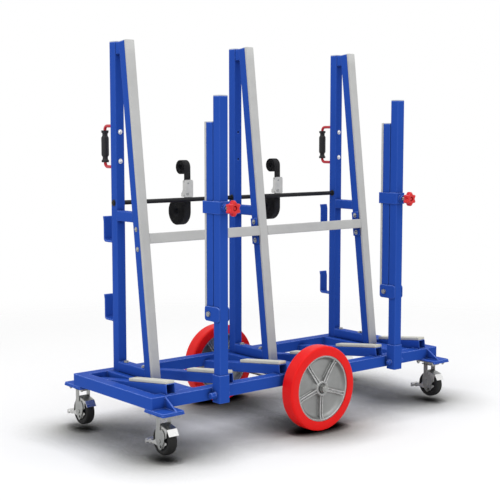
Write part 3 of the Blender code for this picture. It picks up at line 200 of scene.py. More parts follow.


# The edge settings below paint highlights on edges as well as wear, and the crevice settings paint shade in
# corners.
BLUE = surface("blue_powder_coat", (0.019, 0.073, 0.385), 0.45, grain=(650.0, 0.10, 0.00012),
               edge=((0.26, 0.40, 0.98), 1.0, 0.0045), side_edge=0.15, mottle=(4.0, 0.03), specular=0.02,
               corner_shade=(0.025, 0.85))
GREY = surface("grey_rubber", (0.475, 0.478, 0.470), 0.75, grain=(1400.0, 0.25, 0.0002),
               mottle=(14.0, 0.04), specular=0.2)
CREAM = surface("cream_rubber", (0.57, 0.565, 0.50), 0.70, grain=(1400.0, 0.25, 0.0002),
                mottle=(22.0, 0.05), specular=0.2)
RED_TYRE = surface("red_polyurethane", (0.78, 0.006, 0.005), 0.42, grain=(500.0, 0.08, 0.0001),
                   mottle=(16.0, 0.04), edge=((0.90, 0.06, 0.05), 0.4, 0.002), specular=0.18)
CAST = surface("cast_aluminium", (0.30, 0.305, 0.30), 0.42, 0.75, grain=(420.0, 0.25, 0.0002),
               mottle=(26.0, 0.07), edge=((0.97, 0.97, 0.97), 1.0, 0.0034), corner_shade=(0.010, 0.5))
ZINC = surface("zinc_plate", (0.33, 0.335, 0.325), 0.34, 0.9, grain=(600.0, 0.10, 0.0002),
               mottle=(60.0, 0.08), spread=(120.0, 0.07), edge=((0.78, 0.78, 0.76), 0.7, 0.0008))
BUCKLE = surface("pressed_zinc", (0.52, 0.52, 0.51), 0.36, 0.85, "zinc_plate", grain=(500.0, 0.10, 0.0002),
                 mottle=(50.0, 0.06), edge=((0.85, 0.85, 0.84), 0.6, 0.0008))
STEEL = surface("bright_steel", (0.78, 0.78, 0.77), 0.30, 1.0, "zinc_plate", grain=(900.0, 0.06, 0.0001),
                mottle=(70.0, 0.04), spread=(160.0, 0.05), edge=((0.92, 0.92, 0.92), 0.5, 0.0006))
TREAD = surface("black_rubber", (0.010, 0.010, 0.010), 0.62, grain=(900.0, 0.25, 0.0003),
                mottle=(40.0, 0.15), specular=0.25)
BLACK = surface("black_steel", (0.010, 0.010, 0.011), 0.38, 0.2, grain=(800.0, 0.12, 0.0002),
                mottle=(40.0, 0.15), specular=0.25)
PLASTIC = surface("black_plastic", (0.014, 0.014, 0.015), 0.50, grain=(1600.0, 0.30, 0.0002),
                  mottle=(40.0, 0.12))
KNOB_RED = surface("red_plastic", (0.62, 0.010, 0.012), 0.30, grain=(1300.0, 0.12, 0.0002),
                   mottle=(40.0, 0.05), coat=0.15, edge=((0.80, 0.10, 0.09), 0.4, 0.0016),
                   corner_shade=(0.006, 0.7))
ENAMEL = surface("red_enamel", (0.50, 0.020, 0.032), 0.34, grain=(600.0, 0.10, 0.0002),
                 mottle=(30.0, 0.06), coat=0.1)
CAP_GREY = surface("pale_cap", (0.46, 0.49, 0.56), 0.50, slot="grey_rubber", grain=(1400.0, 0.20, 0.0002))


def webbing(name):
    """Woven strap: fine ribs across the web that lean to and fro in a chevron."""
    rib, chevron, slant = 0.0016, 0.0036, 0.0024
    # The strap paints shade in the gaps between its wound layers.
    material = surface(name, (0.017, 0.017, 0.018), 0.84, grain=(1500.0, 0.2, 0.0002), mottle=(120.0, 0.2),
                       sheen=0.05, specular=0.14, corner_shade=(0.004, 0.9))
    add = adder(material)

    def maths(operation, *values):
        return add("Math", "Value", dict(enumerate(values)), operation=operation)

    along = add("SeparateXYZ", "X", {"Vector": add("UVMap", "UV", uv_map="web")})
    zigzag = maths("PINGPONG", along.node.outputs["Y"], chevron)
    phase = maths("ADD", maths("MULTIPLY", along, 2.0 * math.pi / rib),
                  maths("MULTIPLY", zigzag, 2.0 * math.pi / slant))
    relief = add("Bump", "Normal", {"Strength": 0.8, "Distance": 0.0004, "Height": maths("SINE", phase)})
    connect(material.node_tree.nodes["Principled BSDF"], {"Normal": relief})
    return material


WEB = webbing("black_webbing")


# Building blocks. Most of those that take faces being built add to them, and some return them.

def object_of(bm, name):
    """Object of built faces, with their normals pointing out."""
    bmesh.ops.recalc_face_normals(bm, faces=bm.faces)
    mesh = bpy.data.meshes.new(name)
    bm.to_mesh(mesh)
    bm.free()
    obj = bpy.data.objects.new(name, mesh)
    bpy.context.scene.collection.objects.link(obj)
    return obj


def show(bm, name, material=BLUE, body="base", replaces=(), sharp=32.0, bevel=None):
    """Turn built faces into a piece of the scene that rides on a body."""
    obj = object_of(bm, name)
    obj.data.shade_smooth()
    obj.data.set_sharp_from_angle(angle=math.radians(sharp))
    obj.data.materials.append(material)
    if bevel:
        edges = obj.modifiers.new("edges", "BEVEL")
        edges.width, edges.segments = bevel
        edges.limit_method = "ANGLE"
        edges.angle_limit = math.radians(35)
        edges.harden_normals = True
    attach(obj, body)
    if replaces:
        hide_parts(*replaces)


def arc(centre, radius, start, end, steps):
    """Points of an arc between two angles in degrees."""
    points = []
    for index in range(steps + 1):
        angle = math.radians(start + (end - start) * index / steps)
        points.append((centre[0] + radius * math.cos(angle), centre[1] + radius * math.sin(angle)))
    return points


def circle(centre, radius, steps=32):
    """Points of a whole circle."""
    return arc(centre, radius, 0, 360, steps)[:-1]


def rounded(half_w, half_h, corner, steps=4):
    """Outline of a rectangle with round corners."""
    points = []
    for side_u, side_v, start in ((1, 1, 0), (-1, 1, 90), (-1, -1, 180), (1, -1, 270)):
        centre = (side_u * (half_w - corner), side_v * (half_h - corner))
        points += arc(centre, corner, start, start + 90, steps)
    return points


def both_sides(profile):
    """Half of a profile and its mirror image in the plane through the middle."""
    return profile + [(radius, -height) for radius, height in reversed(profile) if height > 0.0]


def smooth(points, steps, closed=False):
    """Line or closed outline through points, rounded by a Catmull-Rom curve."""
    spots = [Vector(point) for point in points]
    if closed:
        spots = spots[-1:] + spots + spots[:2]
    else:
        spots = [2 * spots[0] - spots[1]] + spots + [2 * spots[-1] - spots[-2]]
    result = []
    for p0, p1, p2, p3 in zip(spots, spots[1:], spots[2:], spots[3:]):
        for step in range(steps):
            t = step / steps
            value = 0.5 * ((2 * p1) + (p2 - p0) * t + (2 * p0 - 5 * p1 + 4 * p2 - p3) * t * t
                           + (3 * p1 - p0 - 3 * p2 + p3) * t * t * t)
            result.append(tuple(value))
    return result if closed else result + [tuple(spots[-2])]


def square_to(axis, guide=X, other=Z):
    """Two directions square to an axis, the first one square to a guide as well."""
    u = axis.cross(guide if abs(axis.dot(guide)) < 0.9 else other).normalized()
    return u, axis.cross(u)


def ring_of(bm, centre, u, v, radii):
    """Vertices evenly around a centre, one at each radius."""
    verts = []
    for index, radius in enumerate(radii):
        angle = 2 * math.pi * index / len(radii)
        verts.append(bm.verts.new(centre + (u * math.cos(angle) + v * math.sin(angle)) * radius))
    return verts


def loop_faces(bm, first, second):
    """Faces between two rings of vertices."""
    count = len(first)
    for index in range(count):
        after = (index + 1) % count
        bm.faces.new((first[index], first[after], second[after], second[index]))


def skin(bm, rings):
    """Faces over a row of rings, closed at both ends."""
    for first, second in zip(rings, rings[1:]):
        loop_faces(bm, first, second)
    bm.faces.new(rings[0])
    bm.faces.new(rings[-1])
    return bm


def tube(bm, start, end, side=X, width=TUBE, height=TUBE, corner=0.003, cut=None, mouth=0.0):
    """Square tube between two points, its width along side.

    Its start is cut to the plane that has cut as its normal, and is open as deep as mouth.
    """
    run = (end - start).normalized()
    across = (side - run * side.dot(run)).normalized()
    up = run.cross(across)

    def ring(origin, outline, plane=None):
        verts = []
        for u, v in outline:
            spot = origin + across * u + up * v
            if plane is not None:
                spot += run * ((origin - spot).dot(plane) / run.dot(plane))
            verts.append(bm.verts.new(spot))
        return verts

    outer = rounded(width / 2, height / 2, corner)
    near, far = ring(start, outer, cut), ring(end, outer)
    loop_faces(bm, near, far)
    bm.faces.new(far)
    if mouth:
        inner = rounded(width / 2 - WALL, height / 2 - WALL, max(corner - WALL, 0.0008))
        lip, floor = ring(start, inner, cut), ring(start + run * mouth, inner)
        loop_faces(bm, near, lip)
        loop_faces(bm, lip, floor)
        bm.faces.new(floor)
    else:
        bm.faces.new(near)
    return bm


def cap(bm, start, end):
    """Cap on the end of a tube."""
    return tube(bm, start, end, X, TUBE - 2 * GAP, TUBE - 2 * GAP)


def turned(bm, origin, axis, profile, steps=48, closed=False):
    """Ring or solid turned about an axis from (radius, height) points."""
    axis = axis.normalized()
    u, v = square_to(axis)
    rings = []
    for radius, height in profile:
        radii = [radius] * steps if radius > 1e-6 else [0.0]
        rings.append(ring_of(bm, origin + axis * height, u, v, radii))
    for first, second in zip(rings, rings[1:] + (rings[:1] if closed else [])):
        if len(first) == len(second):
            loop_faces(bm, first, second)
            continue
        (tip,), ring = sorted((first, second), key=len)
        for index in range(steps):
            bm.faces.new((tip, ring[index], ring[(index + 1) % steps]))
    return bm


def pin(bm, origin, axis, radius, length, steps=24, inset=0.0, drop=0.0):
    """Solid pin, its far edge chamfered by inset and drop where they are given."""
    rim = [(radius, length - drop), (radius - inset, length)] if inset else [(radius, length)]
    return turned(bm, origin, axis, [(0.0, 0.0), (radius, 0.0), *rim, (0.0, length)], steps)


def hex_head(bm, origin, axis, across_flats, height, washer=0.0):
    """Hexagon head or nut with a chamfered face, on a washer of the diameter given."""
    seat = 0.0
    if washer:
        seat = 0.0012
        pin(bm, origin, axis, washer / 2, seat, 28, 0.0003, seat * 0.2)
    u, v = square_to(axis)
    flat = across_flats / 2
    corner = flat / math.cos(math.pi / 6)
    skin(bm, [ring_of(bm, origin + axis * rise, u, v, radii) for rise, radii in (
        (seat, [corner, flat] * 6), (height * 0.82, [corner, flat] * 6), (height, [corner * 0.86] * 12))])


def dome_head(bm, origin, axis, diameter, height, washer=0.0):
    """Round domed head, on a washer of the diameter given."""
    seat = 0.0
    if washer:
        seat = 0.001
        pin(bm, origin, axis, washer / 2, seat, 28)
    dome = [(diameter / 2 * u, seat + height * v) for u, v in arc((0.0, 0.0), 1.0, 0, 90, 6)]
    turned(bm, origin, axis, [(0.0, seat)] + dome, 24)


def faces_of(obj):
    """Faces of an object as its modifiers or its curve leave them, taking it out of the scene."""
    mesh = bpy.data.meshes.new_from_object(obj.evaluated_get(bpy.context.evaluated_depsgraph_get()))
    bpy.data.objects.remove(obj)
    bm = bmesh.new()
    bm.from_mesh(mesh)
    bpy.data.meshes.remove(mesh)
    return bm


def curve_faces(lines, cyclic, **settings):
    """Faces of a curve through lines of points."""
    curve = bpy.data.curves.new("line", "CURVE")
    for name, value in settings.items():
        setattr(curve, name, value)
    for line in lines:
        spline = curve.splines.new("POLY")
        spline.points.add(len(line) - 1)
        for point, spot in zip(spline.points, line):
            point.co = (*Vector(spot).to_3d(), 1.0)
        spline.use_cyclic_u = cyclic
    holder = bpy.data.objects.new("line", curve)
    bpy.context.scene.collection.objects.link(holder)
    bm = faces_of(holder)
    bpy.data.curves.remove(curve)
    bmesh.ops.remove_doubles(bm, verts=bm.verts, dist=0.00001)
    return bm


def add_plate(bm, outlines, thickness, origin, u, v):
    """Add a plate cut to closed outlines, which count along u and v from an origin in its middle plane."""
    extra = curve_faces(outlines, True, dimensions="2D", fill_mode="BOTH", extrude=thickness / 2)
    if len(outlines) == 1:
        bmesh.ops.dissolve_limit(extra, angle_limit=math.radians(1), verts=extra.verts, edges=extra.edges)
    matrix = Matrix((u, v, u.cross(v))).transposed().to_4x4()
    matrix.translation = origin
    bmesh.ops.transform(extra, matrix=matrix, verts=extra.verts)
    mesh = bpy.data.meshes.new("plate")
    extra.to_mesh(mesh)
    extra.free()
    bm.from_mesh(mesh)
    bpy.data.meshes.remove(mesh)
    return bm


def cut_holes(bm, holes):
    """Cut round holes through built faces with an exact Boolean."""
    cutters = bmesh.new()
    for origin, axis, radius, length in holes:
        pin(cutters, origin - axis * length / 2, axis, radius, length, 28)
    solid, cutter = object_of(bm, "solid"), object_of(cutters, "cutter")
    boolean = solid.modifiers.new("holes", "BOOLEAN")
    boolean.operation = "DIFFERENCE"
    boolean.object = cutter
    boolean.solver = "EXACT"
    result = faces_of(solid)
    bpy.data.objects.remove(cutter)
    return result


def bead(bm, points, radius=0.0016, closed=False):
    """Weld bead with its ripples, along a line of points."""
    route = points + points[:1] if closed else points
    samples = []
    for first, second in zip(route, route[1:]):
        count = max(1, int((second - first).length / 0.0022))
        samples += [first.lerp(second, index / count) for index in range(count)]
    samples.append(route[-1])
    rings = []
    for index, spot in enumerate(samples):
        run = (samples[min(index + 1, len(samples) - 1)] - samples[max(index - 1, 0)]).normalized()
        rings.append(ring_of(bm, spot, *square_to(run, Z, X), [radius * (1.12 if index % 2 else 0.9)] * 6))
    skin(bm, rings)


def weld(bm, x, y, z, radius=0.0016, place=at):
    """Straight weld bead; a coordinate given as a pair runs from its first to its second value."""
    ends = [[value[end] if isinstance(value, tuple) else value for value in (x, y, z)] for end in (0, 1)]
    bead(bm, [place(*spot) for spot in ends], radius)


def channel(wall, front, back, bend, lead, steps):
    """Outline of a channel around a clamp post, open at the back and bent at its outer corners."""
    inner = HALF + GAP
    outer = inner + wall
    corner = arc((outer - bend, front + lead), bend, -90, 0, steps)
    outline = [(-outer, back)] + [(-u, v) for u, v in reversed(corner)] + corner
    return outline + [(outer, back), (inner, back), (inner, front), (-inner, front), (-inner, back)]


def strip(name, origin, along, out, length, body, replaces):
    """Grey rubber facing: a strip with soft long edges and a fine crown."""
    thick, edge, foot, pull = PAD - GAP, 0.0022, 0.0006, 0.0012
    across = along.cross(out).normalized()
    outline = arc((HALF - edge, thick - edge), edge, 0, 90, 5)
    outline += [(HALF * share, thick - 0.0001 * abs(share)) for share in (0.6, 0.2, -0.2, -0.6)]
    outline += arc((edge - HALF, thick - edge), edge, 90, 180, 5)
    outline += [(-HALF, foot), (foot - HALF, 0.0), (HALF - foot, 0.0), (HALF, foot)]
    bm = bmesh.new()
    rings = []
    for place in [0.0, pull] + [length * step / 24 for step in range(1, 24)] + [length - pull, length]:
        shrink = pull if place in (0.0, length) else 0.0
        rings.append([bm.verts.new(origin + along * place + across * u * (1 - shrink / HALF)
                                   + out * max(v - shrink, 0.0)) for u, v in outline])
    show(skin(bm, rings), name, GREY, body, (replaces,), sharp=50)


# Chassis

def build_chassis():
    """Rails, cross members and slab rests, then what is welded to them."""
    middle = (FRAME_TOP + FRAME_BOTTOM) / 2
    end, inner = FRAME_END - RAIL, RAIL_INNER
    opening = [(-end, -inner), (-end, inner), (end, inner), (end, -inner)]
    ring = [rounded(FRAME_END, FRAME_SIDE, 0.004), opening]
    show(add_plate(bmesh.new(), ring, RAIL, at(0, 0, middle), X, Y), "chassis_ring",
         replaces=("base_frame",), bevel=(0.0035, 4))
    bm = bmesh.new()
    reach = RAIL_INNER - 0.0002
    for x in FRAME_XS:
        tube(bm, at(x, -reach, middle), at(x, reach, middle), X, 0.080, RAIL, 0.0035)
    show(bm, "cross_members")
    bm = bmesh.new()
    for x in REST_XS:
        tube(bm, resting(x, 0.0, HALF), resting(x, REST_RUN, HALF), mouth=0.15)
    show(bm, "slab_rests")
    welds = bmesh.new()
    build_caster_mounts(welds)
    weld_members(welds)
    for side, sign in SIDES.items():
        build_post_socket(side, sign, welds)
    build_axle_saddles()
    show(welds, "chassis_welds", sharp=80)


def build_caster_mounts(welds):
    """Plate with a folded lip and a gusset at each corner."""
    bm = bmesh.new()
    half = 0.0425
    inner, outer = RAIL_INNER - 0.002, FRAME_SIDE + 0.062
    mount = rounded(half, (outer - inner) / 2, 0.006)
    lip = [(half, -0.052), (half, 0.052), (-half, 0.052), (-half, 0.0450), (0.0379, 0.0450),
           (0.0379, -0.0500), (-half, -0.0500), (-half, -0.052)]
    for side_x, side_y in CORNERS.values():
        x, y = side_x * (FRAME_END - half), side_y * (inner + outer) / 2
        edge, tip = side_y * FRAME_SIDE, side_y * (outer - 0.004)
        gusset_x = side_x * (FRAME_END - 0.0550)
        gusset = [(edge, FRAME_TOP - 0.003), (edge, FRAME_BOTTOM), (tip, FRAME_BOTTOM),
                  (tip, FRAME_BOTTOM + 0.0015)]
        add_plate(bm, [mount], 0.006, at(x, y, FRAME_BOTTOM - 0.003), X, Y)
        corner_lip = [(side_x * u, side_y * v) for u, v in lip]
        add_plate(bm, [corner_lip], 0.006, at(x, y, FRAME_BOTTOM - 0.009), X, Y)
        add_plate(bm, [gusset], 0.005, at(gusset_x, 0, 0), Y, Z)
        for spot in (gusset_x - 0.0028, gusset_x + 0.0028):
            weld(welds, spot, edge, (FRAME_TOP - 0.006, FRAME_BOTTOM + 0.001), 0.0015)
            weld(welds, spot, (edge, tip), FRAME_BOTTOM + 0.0005, 0.0015)
        weld(welds, (x - 0.040, x + 0.040), edge, FRAME_BOTTOM - 0.0002, 0.0018)
    show(bm, "caster_mounts", bevel=(0.0012, 3))


def weld_members(welds):
    """Beads at the ends of the rails, cross members and slab rests."""
    upright = (FRAME_BOTTOM + 0.003, FRAME_TOP - 0.003)
    for side in (-1, 1):
        for level in (-1, 1):
            weld(welds, side * (FRAME_END - RAIL - GAP), level * (RAIL_INNER - 0.001), upright, 0.0018)
    for x in FRAME_XS:
        across = (x - 0.038, x + 0.038)
        for y in (0.0005 - RAIL_INNER, RAIL_INNER - 0.0005):
            for edge in (x - 0.040, x + 0.040):
                weld(welds, edge, y, upright, 0.0018)
            weld(welds, across, y, FRAME_TOP - 0.0002, 0.0012)
            weld(welds, across, y, FRAME_BOTTOM)
    low = REST_RUN - 0.001
    for x in REST_XS:
        across = (x - HALF, x + HALF)
        weld(welds, across, 0.002, 0.0, place=resting)
        for edge in across:
            weld(welds, edge, (0.004, 0.036), (0.0, 0.0045), place=resting)
            weld(welds, edge, low, (0.014, TUBE - 0.002), place=resting)
        weld(welds, across, low, TUBE, place=resting)


def build_post_socket(side, sign, welds):
    """Channel that holds the foot of a clamp post, with its cross bolt."""
    x, out, wall = sign * CLAMP_X, X * sign, 0.0030
    reach = HALF + GAP + wall
    outline = channel(wall, CLAMP_OUTER - GAP, -FRAME_SIDE, 0.0035, 0.0010, 4)
    show(add_plate(bmesh.new(), [outline], 0.093, at(x, 0, 0.157 + 0.0465), X, Y), f"post_socket_{side}",
         bevel=(0.0010, 3))
    for edge in (x - reach, x + reach):
        weld(welds, edge, -FRAME_SIDE, (FRAME_BOTTOM + 0.002, FRAME_TOP - 0.002), 0.0018)
    face, inside = [at(x + step * reach, -0.2575, 0.1835) for step in (sign, -sign)]
    bolts = pin(bmesh.new(), face, out, 0.0115, 0.0058, 32, 0.0008, 0.0008)
    hex_head(bolts, face + out * 0.0058, out, 0.0185, 0.0170)
    hex_head(bolts, inside, -out, 0.019, 0.0100, 0.024)
    pin(bolts, inside - out * 0.0098, -out, 0.0058, 0.0043, 24, 0.0008, 0.0008)
    show(bolts, f"socket_bolt_{side}")


def build_axle_saddles():
    """Bored blocks under the long rails that carry the axle."""
    radius = 0.022
    outline = arc((0.0, AXLE_Z), radius, 180, 360, 24)
    outline += [(radius, FRAME_BOTTOM + 0.001), (-radius, FRAME_BOTTOM + 0.001)]
    bm = bmesh.new()
    for side in (-1, 1):
        spot = at(0, side * (RAIL_INNER + FRAME_SIDE) / 2, 0)
        add_plate(bm, [outline, circle((0.0, AXLE_Z), 0.0128)], 0.0375, spot, X, Z)
    show(bm, "axle_saddles", bevel=(0.0008, 2))


def build_rest_pads():
    """Cream pads on the slab rests, drawn in at both ends."""
    length, end, pull = 0.216, 0.0015, 0.0018
    middle = TUBE + GAP + PAD / 2
    outline = rounded(HALF, PAD / 2, 0.0022)
    stations = [0.0, end] + [length * step / 30 for step in range(1, 30)] + [length - end, length]
    for index, x in enumerate(REST_XS, start=1):
        bm = bmesh.new()
        rings = []
        for along in stations:
            share = pull if along in (0.0, length) else 0.0
            rings.append([bm.verts.new(resting(x + u * (1 - share / HALF), along,
                                               middle + v * (1 - share / (PAD / 2)))) for u, v in outline])
        show(skin(bm, rings), f"rest_pad_{index}", CREAM, replaces=(f"slab_rest_pad_{index}",), sharp=50)


# A-frames

def hook_outline(bottom):
    """J-shaped storage hook: foot on the post and flared outer leg."""
    sheet, corner, flare = 0.006, 0.012, 0.004
    out = POST_BACK + 0.046 + sheet
    top = bottom + 0.090
    bend = top - 0.018
    centre = (out - corner, bottom + corner)
    points = [(POST_BACK, bottom)] + arc(centre, corner, -90, 0, 8)
    points += [(out, bend), (out + flare, top), (out + flare - sheet, top), (out - sheet, bend)]
    return points + arc(centre, corner - sheet, 0, -90, 8) + [(POST_BACK, bottom + sheet)]


def build_a_frame(side, x):
    """Post, leaning leg, bars, caps, welds, hooks, bolts and facing of one A-frame."""
    foot = FRAME_TOP + GAP
    top_rise = (1.3565 - FRAME_TOP) / math.cos(TILT)
    across = (x - HALF + 0.002, x + HALF - 0.002)
    bm = tube(bmesh.new(), at(x, POST_MIDDLE, foot), at(x, POST_MIDDLE, POST_TOP))
    if side == "middle":
        bm = cut_holes(bm, [(at(x, POST_MIDDLE, HANDLE_Z + sign * HANDLE_BOLT), Y, 0.004, 0.045)
                            for sign in (-1, 1)])
    show(bm, f"a_post_{side}", replaces=(f"a_frame_{side}",))

    low, high = leaning(x, PAD + HALF, 0.0), leaning(x, PAD + HALF, top_rise - 0.0015)
    low += LEAN * ((foot - low.z) / LEAN.z)
    show(tube(bmesh.new(), low, high, cut=Z), f"a_leg_{side}")

    bm = bmesh.new()
    for z, width, height in ((foot + HALF, TUBE, TUBE), (STRUT_Z + HALF, TUBE, TUBE), (1.3305, 0.030, 0.040)):
        tube(bm, at(x, leg_y(z, PAD + TUBE) - 0.0006, z), at(x, POST_FRONT, z), X, width, height, cut=BACK)
    show(bm, f"a_bars_{side}")

    caps = cap(bmesh.new(), at(x, POST_MIDDLE, POST_TOP), at(x, POST_MIDDLE, POST_TOP + 0.003))
    show(cap(caps, high, high + LEAN * 0.0015), f"a_caps_{side}", CAP_GREY, bevel=(0.0004, 2))

    welds = bmesh.new()
    for z in (foot + TUBE, STRUT_Z, STRUT_Z + TUBE, 1.3105):
        for y in (POST_FRONT, leg_y(z, PAD + TUBE)):
            weld(welds, across, y, z)
    for z in ((foot + 0.003, foot + TUBE - 0.003), (STRUT_Z + 0.003, STRUT_Z + TUBE - 0.003),
              (1.3135, 1.348)):
        for edge in (x - HALF + 0.0015, x + HALF - 0.0015):
            for y in (POST_FRONT, tuple(leg_y(height, PAD + TUBE) for height in z)):
                weld(welds, edge, y, z, 0.0013)
    if side != "middle":
        hooks = bmesh.new()
        for bottom in (0.382, 0.660):
            add_plate(hooks, [hook_outline(bottom)], TUBE, at(x, 0, 0), Y, Z)
            for z in (bottom, bottom + 0.006):
                weld(welds, across, POST_BACK, z, 0.0014)
        show(hooks, f"post_hooks_{side}", bevel=(0.0010, 3))
    show(welds, f"a_welds_{side}", sharp=80)

    bolts = bmesh.new()
    for y in (0.140, 0.030):
        hex_head(bolts, at(x, y, foot + TUBE), Z, 0.013, 0.0065, 0.020)
        hex_head(bolts, at(x, y, FRAME_BOTTOM), -Z, 0.013, 0.0075, 0.020)
        pin(bolts, at(x, y, FRAME_BOTTOM - 0.007), -Z, 0.0039, 0.0066, 20, 0.0005, 0.0006)
    show(bolts, f"a_bolts_{side}", ZINC)

    start = leaning(x, PAD - GAP, 0.0)
    shift = (foot - start.z) / LEAN.z
    strip(f"a_facing_{side}", start + LEAN * shift, LEAN, -BACK, top_rise - shift - 0.0001, "base",
          f"a_frame_face_{side}")


def build_cross_bar(side, sign):
    """Bar between two leaning legs, with its end plates, bolts, welds and facing."""
    x = sign * PITCH / 2
    clear = PITCH - TUBE - 2 * GAP
    rise = (0.686 - FRAME_TOP) / math.cos(TILT)
    centre = leaning(x, PAD + HALF, rise)
    reach = clear / 2 - 0.005
    show(tube(bmesh.new(), centre - X * reach, centre + X * reach, BACK), f"cross_tube_{side}",
         replaces=(f"cross_bar_{side}",))
    bm, bolts, welds = bmesh.new(), bmesh.new(), bmesh.new()
    for end in (-1, 1):
        add_plate(bm, [rounded(HALF, 0.048, 0.003)], 0.005, centre + X * end * (reach + 0.0025), BACK, LEAN)
        face = centre + X * end * reach
        outside = centre + X * end * (clear / 2 + TUBE + GAP)
        for level in (-1, 1):
            bolt, edge = LEAN * level * 0.034, face + LEAN * level * HALF
            dome_head(bolts, face + bolt, -X * end, 0.013, 0.0055, 0.018)
            if abs(outside.x) > 0.3:
                dome_head(bolts, outside + bolt, X * end, 0.012, 0.005, 0.017)
            bead(welds, [edge - BACK * (HALF - 0.002), edge + BACK * (HALF - 0.002)])
        edge = face + BACK * HALF
        bead(welds, [edge - LEAN * (HALF - 0.002), edge + LEAN * (HALF - 0.002)])
    show(bm, f"cross_plates_{side}", bevel=(0.0008, 2))
    show(bolts, f"cross_bolts_{side}", ZINC)
    show(welds, f"cross_welds_{side}", sharp=80)
    strip(f"cross_facing_{side}", leaning(x - clear / 2, PAD - GAP, rise), X, -BACK, clear, "base",
          f"cross_bar_face_{side}")


def build_strap_rod():
    """Round rod through the three posts, with a bush on each side of a post."""
    reach = PITCH + HALF + 0.006
    show(turned(bmesh.new(), at(-reach, POST_MIDDLE, ROD_Z), X, [
        (0.0, 0.0), (0.0065, 0.0), (ROD_RADIUS, 0.0015), (ROD_RADIUS, 2 * reach - 0.0015),
        (0.0065, 2 * reach), (0.0, 2 * reach)], 32), "lashing_rod", BLACK, replaces=("strap_rod",))
    bush = [(0.0081, 0.0), (0.0115, 0.0), (0.0115, 0.0012), (0.0105, 0.0024), (0.0081, 0.0026)]
    bm = bmesh.new()
    for x in FRAME_XS:
        for end in (-1, 1):
            turned(bm, at(x + end * HALF, POST_MIDDLE, ROD_Z), X * end, bush, 28, closed=True)
    show(bm, "rod_bushes", PLASTIC)


def build_handle(side, x):
    """Bent handle rod with its feet, bolts and welds, and the waisted grip."""
    seat = POST_BACK + GAP
    top, bend, reach = 0.1425 / 2, 0.0145, 0.062
    route = [(seat + 0.001, top)] + arc((POST_BACK + reach - bend, top - bend), bend, 90, 0, 10)
    route += [(y, -z) for y, z in reversed(route)]
    rod = curve_faces([[at(x, y, HANDLE_Z + z) for y, z in route]], False, dimensions="3D",
                      bevel_depth=0.0056, bevel_resolution=4, use_fill_caps=True)
    show(rod, f"handle_rod_{side}", ENAMEL, replaces=(f"handle_bar_{side}",))
    feet, bolts, welds = bmesh.new(), bmesh.new(), bmesh.new()
    for sign in (-1, 1):
        spot = at(x, seat + 0.0015, HANDLE_Z + sign * (top + 0.008 - 0.022))
        add_plate(feet, [rounded(0.011, 0.022, 0.005, 5)], 0.003, spot, X, Z)
        bolt_z = HANDLE_Z + sign * HANDLE_BOLT
        dome_head(bolts, at(x, seat + 0.003, bolt_z), Y, 0.0125, 0.004)
        dome_head(bolts, at(x, POST_FRONT, bolt_z), -Y, 0.013, 0.0055, 0.017)
        ring = circle((x, HANDLE_Z + sign * top), 0.0055, 12)
        bead(welds, [at(u, seat + 0.0034, v) for u, v in ring], 0.0011, closed=True)
    show(feet, f"handle_feet_{side}", ENAMEL, bevel=(0.0006, 2))
    show(bolts, f"handle_bolts_{side}", STEEL)
    show(welds, f"handle_welds_{side}", ENAMEL, sharp=80)

    length = 0.112
    stops = [(0.500, 0.0053), (0.500, 0.0119), (0.496, 0.0129), (0.485, 0.0131), (0.440, 0.0131),
             (0.430, 0.0124), (0.405, 0.0100), (0.385, 0.0095), (0.335, 0.0095), (0.315, 0.0105),
             (0.285, 0.0128), (0.265, 0.0134), (0.20, 0.0135), (0.10, 0.0134), (0.0, 0.0134)]
    profile = both_sides([(radius, share * length) for share, radius in stops])
    show(turned(bmesh.new(), at(x, POST_BACK + reach, HANDLE_Z), Z, profile, 40, closed=True),
         f"handle_sleeve_{side}", PLASTIC, replaces=(f"handle_grip_{side}",), sharp=50)


# Centre wheels

def build_axle():
    """Axle, a spacer between frame and wheel on each side, and the nuts."""
    reach, length = 0.3085, 0.617
    bm = turned(bmesh.new(), at(0, -reach, AXLE_Z), Y, [
        (0.0, 0.0), (0.0112, 0.0), (0.0125, 0.0013), (0.0125, length - 0.0013), (0.0112, length),
        (0.0, length)], 40)
    spacer = [(0.0126, 0.0), (0.0175, 0.0), (0.018, 0.0005), (0.018, 0.0209), (0.0175, 0.0214),
              (0.0126, 0.0214)]
    washer = [(0.0126, 0.0), (0.0150, 0.0), (0.0150, 0.0018), (0.0146, 0.0022), (0.0126, 0.0022)]
    nuts = bmesh.new()
    for side in (-1, 1):
        out = Y * side
        turned(bm, at(0, side * (FRAME_SIDE + GAP), AXLE_Z), out, spacer, 40, closed=True)
        seat = at(0, side * 0.3083, AXLE_Z)
        turned(nuts, seat, out, washer, 40, closed=True)
        hex_head(nuts, seat + out * 0.0022, out, 0.0270, 0.0120)
        pin(nuts, seat + out * 0.0135, out, 0.0092, 0.0032, 32, 0.0012, 0.0012)
    show(bm, "axle_bar", STEEL, replaces=("wheel_axle",))
    show(nuts, "axle_nuts", ZINC)


